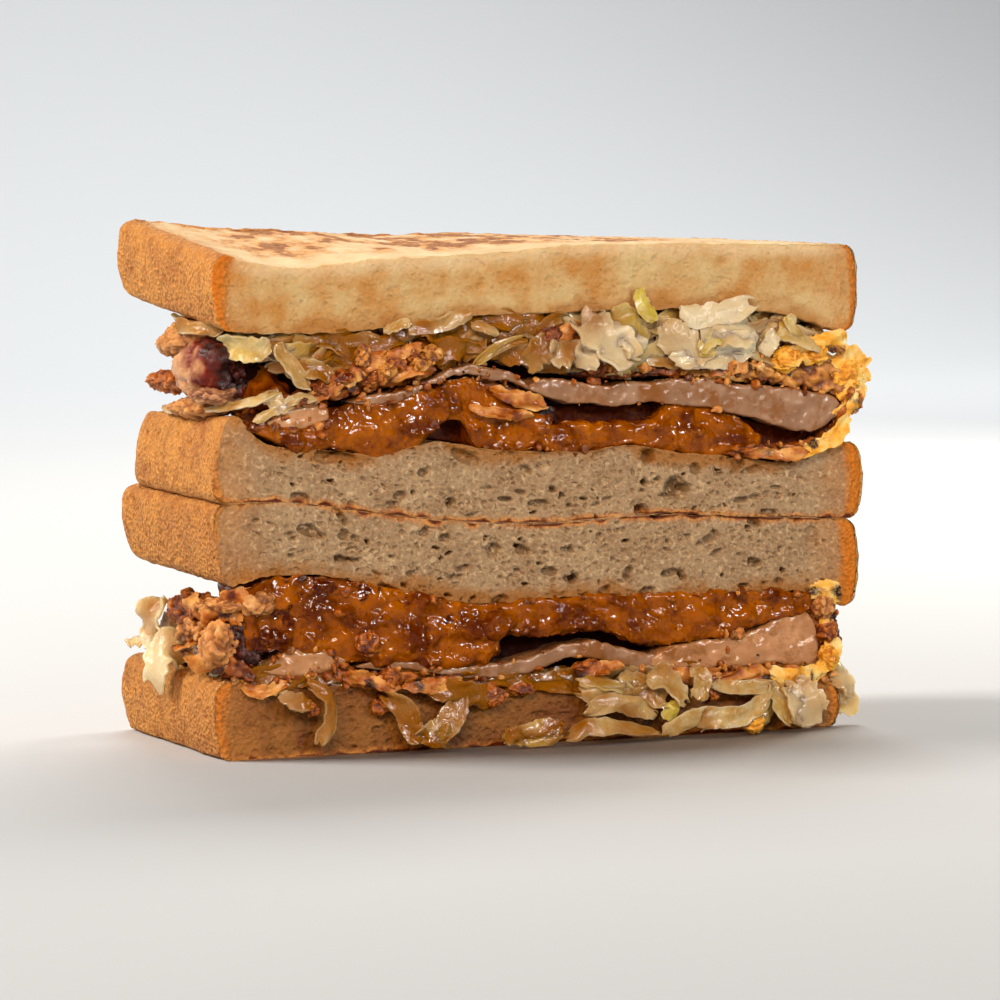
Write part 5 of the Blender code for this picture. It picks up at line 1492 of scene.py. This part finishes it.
# A heap: its core, the shreds that show at its cut, how far the core is set back from there, and how
# much sauce its shreds have taken up, which in the lower heap also stands in for painted shade.
Heap = namedtuple("Heap", "body shown set_back soak")
HEAPS = (
    # The lower heap's larger soak darkens its shreds partly for sauce and partly as painted shade.
    Heap(Body("lower_cabbage", LOWER_CABBAGE_PLAN, LOWER_BREAD_TOP, LOWER_CHICKEN_UNDER, 400),
         LOWER_SHREDS, 2.0, 0.36),
    Heap(Body("upper_cabbage", UPPER_CABBAGE_PLAN, UPPER_CHICKEN_TOP, UPPER_CABBAGE_TOP, 700),
         UPPER_SHREDS, 3.5, 0.06),
)


def join_shreds(name, node, shreds, material, seed, soak, grid):
    """Shreds joined to one piece that stands for a heap of cabbage."""
    parts = [cabbage_shred(shred, seed + 10 * index, soak, grid) for index, shred in enumerate(shreds)]
    join_strips(parts, name, material, "cabbage", node)


def make_cabbage():
    """Both heaps of cabbage: a soaked core that is also painted shade deep in the heap, shreds all round it,
    and the ones that show at the cut.
    """
    leaf = shredded_cabbage("shredded_white_cabbage")
    for heap in HEAPS:
        node, plan, under, over, seed = heap.body
        inset = plan._replace(left=plan.left + CORE_INSET, right=plan.right - CORE_INSET,
                              back=plan.back - CORE_INSET)
        core = layer_body(heap.body._replace(plan=inset), leaf, "cabbage", CUT_Y + heap.set_back, False)
        # The core shows only in the gaps between shreds; its amber is soaked cabbage and painted shade deep
        # in the heap.
        set_attribute(core, "soaked", np.full(len(core.data.vertices), CORE_SOAK_AND_SHADE))
        groups = (("_shown_shreds", heap.shown, SHOWN_GRID),
                  ("_heap_shreds", heap_shreds(plan, under, over, HEAP_SHREDS, seed), HEAP_GRID),
                  ("_rim_shreds", rim_shreds(plan, under, over, RIM_SHREDS, seed), HEAP_GRID))
        for step, (ending, shreds, grid) in enumerate(groups, 1):
            join_shreds(node + ending, node, shreds, leaf, seed + step, heap.soak, grid)


# Floor, camera and lights

# The floor's size, the height of the wall behind it, and the width and steps of the curve between
# them, in metres.
FLOOR_SIZE = 6
WALL_HEIGHT = 4
CURVE_WIDTH = 1.6
CURVE_STEPS = 24
# Where the camera stands, in metres, and how far it looks down and is turned, in degrees.
CAMERA_PLACE = (-0.293735, -0.658717, 0.09035)
CAMERA_TILT = 3.99
CAMERA_TURN = -24.15
# The point that the lamps look at.
FOOD_MIDDLE = (0, 0, 0.045)


def make_stage():
    """A plain pale floor that curves up behind, as a photographer's paper roll does."""
    bpy.ops.object.select_all(action="DESELECT")
    bpy.ops.mesh.primitive_plane_add(size=FLOOR_SIZE)
    floor = bpy.context.object
    floor.name = "floor"
    ends = np.empty(len(floor.data.edges) * 2, dtype=np.int32)
    floor.data.edges.foreach_get("vertices", ends)
    far = points_of(floor)[ends.reshape(-1, 2), 1].min(axis=1) > 0
    select_in_mesh(floor, "edges", far)
    bpy.ops.object.mode_set(mode="EDIT")
    bpy.ops.mesh.select_mode(type="EDGE")
    bpy.ops.mesh.extrude_region_move(TRANSFORM_OT_translate={"value": (0, 0, WALL_HEIGHT)})
    bpy.ops.object.mode_set(mode="OBJECT")
    curve = floor.modifiers.new("curve", "BEVEL")
    curve.width = CURVE_WIDTH
    curve.segments = CURVE_STEPS
    bpy.ops.object.modifier_apply(modifier=curve.name)
    bpy.ops.object.shade_smooth()
    material, tree, _ = new_material("pale_paper")
    give_surface(tree, {"Base Color": linear("#DDE0E2"), "Roughness": 0.8}, {})
    floor.data.materials.append(material)
    return floor


def make_camera():
    """A long lens a little above the cut's middle, turned to show the left ends."""
    lens = bpy.data.cameras.new("camera")
    lens.lens = 150
    lens.sensor_width = 36
    camera = bpy.data.objects.new("camera", lens)
    camera.location = CAMERA_PLACE
    camera.rotation_euler = (math.radians(90 - CAMERA_TILT), 0, math.radians(CAMERA_TURN))
    bpy.context.scene.collection.objects.link(camera)
    bpy.context.scene.camera = camera


def make_light(name, place, target, size, power, colour):
    """A square soft box that looks at a point."""
    light = bpy.data.lights.new(name, "AREA")
    light.shape = "SQUARE"
    light.size = size
    light.energy = power
    light.color = linear(colour)[:3]
    lamp = bpy.data.objects.new(name, light)
    lamp.location = place
    lamp.rotation_euler = (Vector(place) - Vector(target)).to_track_quat("Z", "Y").to_euler()
    bpy.context.scene.collection.objects.link(lamp)
    return lamp


def make_lights(floor):
    """A key from the left and behind, a soft warm fill and three small lamps from the front, a rim from
    the right, and one lamp for the backdrop. The front lights leave the floor alone. The fill doesn't
    glint in wet food, and the glint lamp does nothing else."""
    make_light("key", (-0.75, 0.30, 0.60), FOOD_MIDDLE, 0.35, 9.5, "#FFF6EC")
    fill = make_light("fill", (-0.60, -0.68, 0.48), FOOD_MIDDLE, 0.4, 5.2, "#FFC88E")
    fill.visible_glossy = False
    left = make_light("left_lamp", (-0.20, -0.62, 0.46), FOOD_MIDDLE, 0.10, 1.4, "#FFF0DC")
    right = make_light("right_lamp", (0.33, -0.72, 0.30), FOOD_MIDDLE, 0.10, 2.0, "#FFF0DC")
    glint = make_light("glint_lamp", (0.12, -0.72, 0.36), FOOD_MIDDLE, 0.10, 5.4, "#FFFFFF")
    glint.visible_diffuse = False
    make_light("rim", (0.75, 0.40, 0.35), FOOD_MIDDLE, 0.3, 4.5, "#FFF4E4")
    make_light("backdrop", (0.65, 1.3, 1.3), (0.65, 1.3, 0), 1.1, 22, "#FFFFFF")
    unlit = bpy.data.collections.new("lit_from_behind_only")
    unlit.objects.link(floor)
    for lamp in (fill, left, right, glint):
        lamp.light_linking.receiver_collection = unlit
    unlit.collection_objects[0].light_linking.link_state = "EXCLUDE"
    world = bpy.data.worlds.new("pale_room")
    world.use_nodes = True
    sky = world.node_tree.nodes["Background"]
    sky.inputs["Color"].default_value = linear("#F2EEE8")
    sky.inputs["Strength"].default_value = 0.16
    world.cycles_visibility.glossy = False
    bpy.context.scene.world = world
    bpy.context.scene.view_settings.view_transform = "Standard"


make_camera()
make_lights(make_stage())
make_breads()
make_chicken()
make_cabbage()
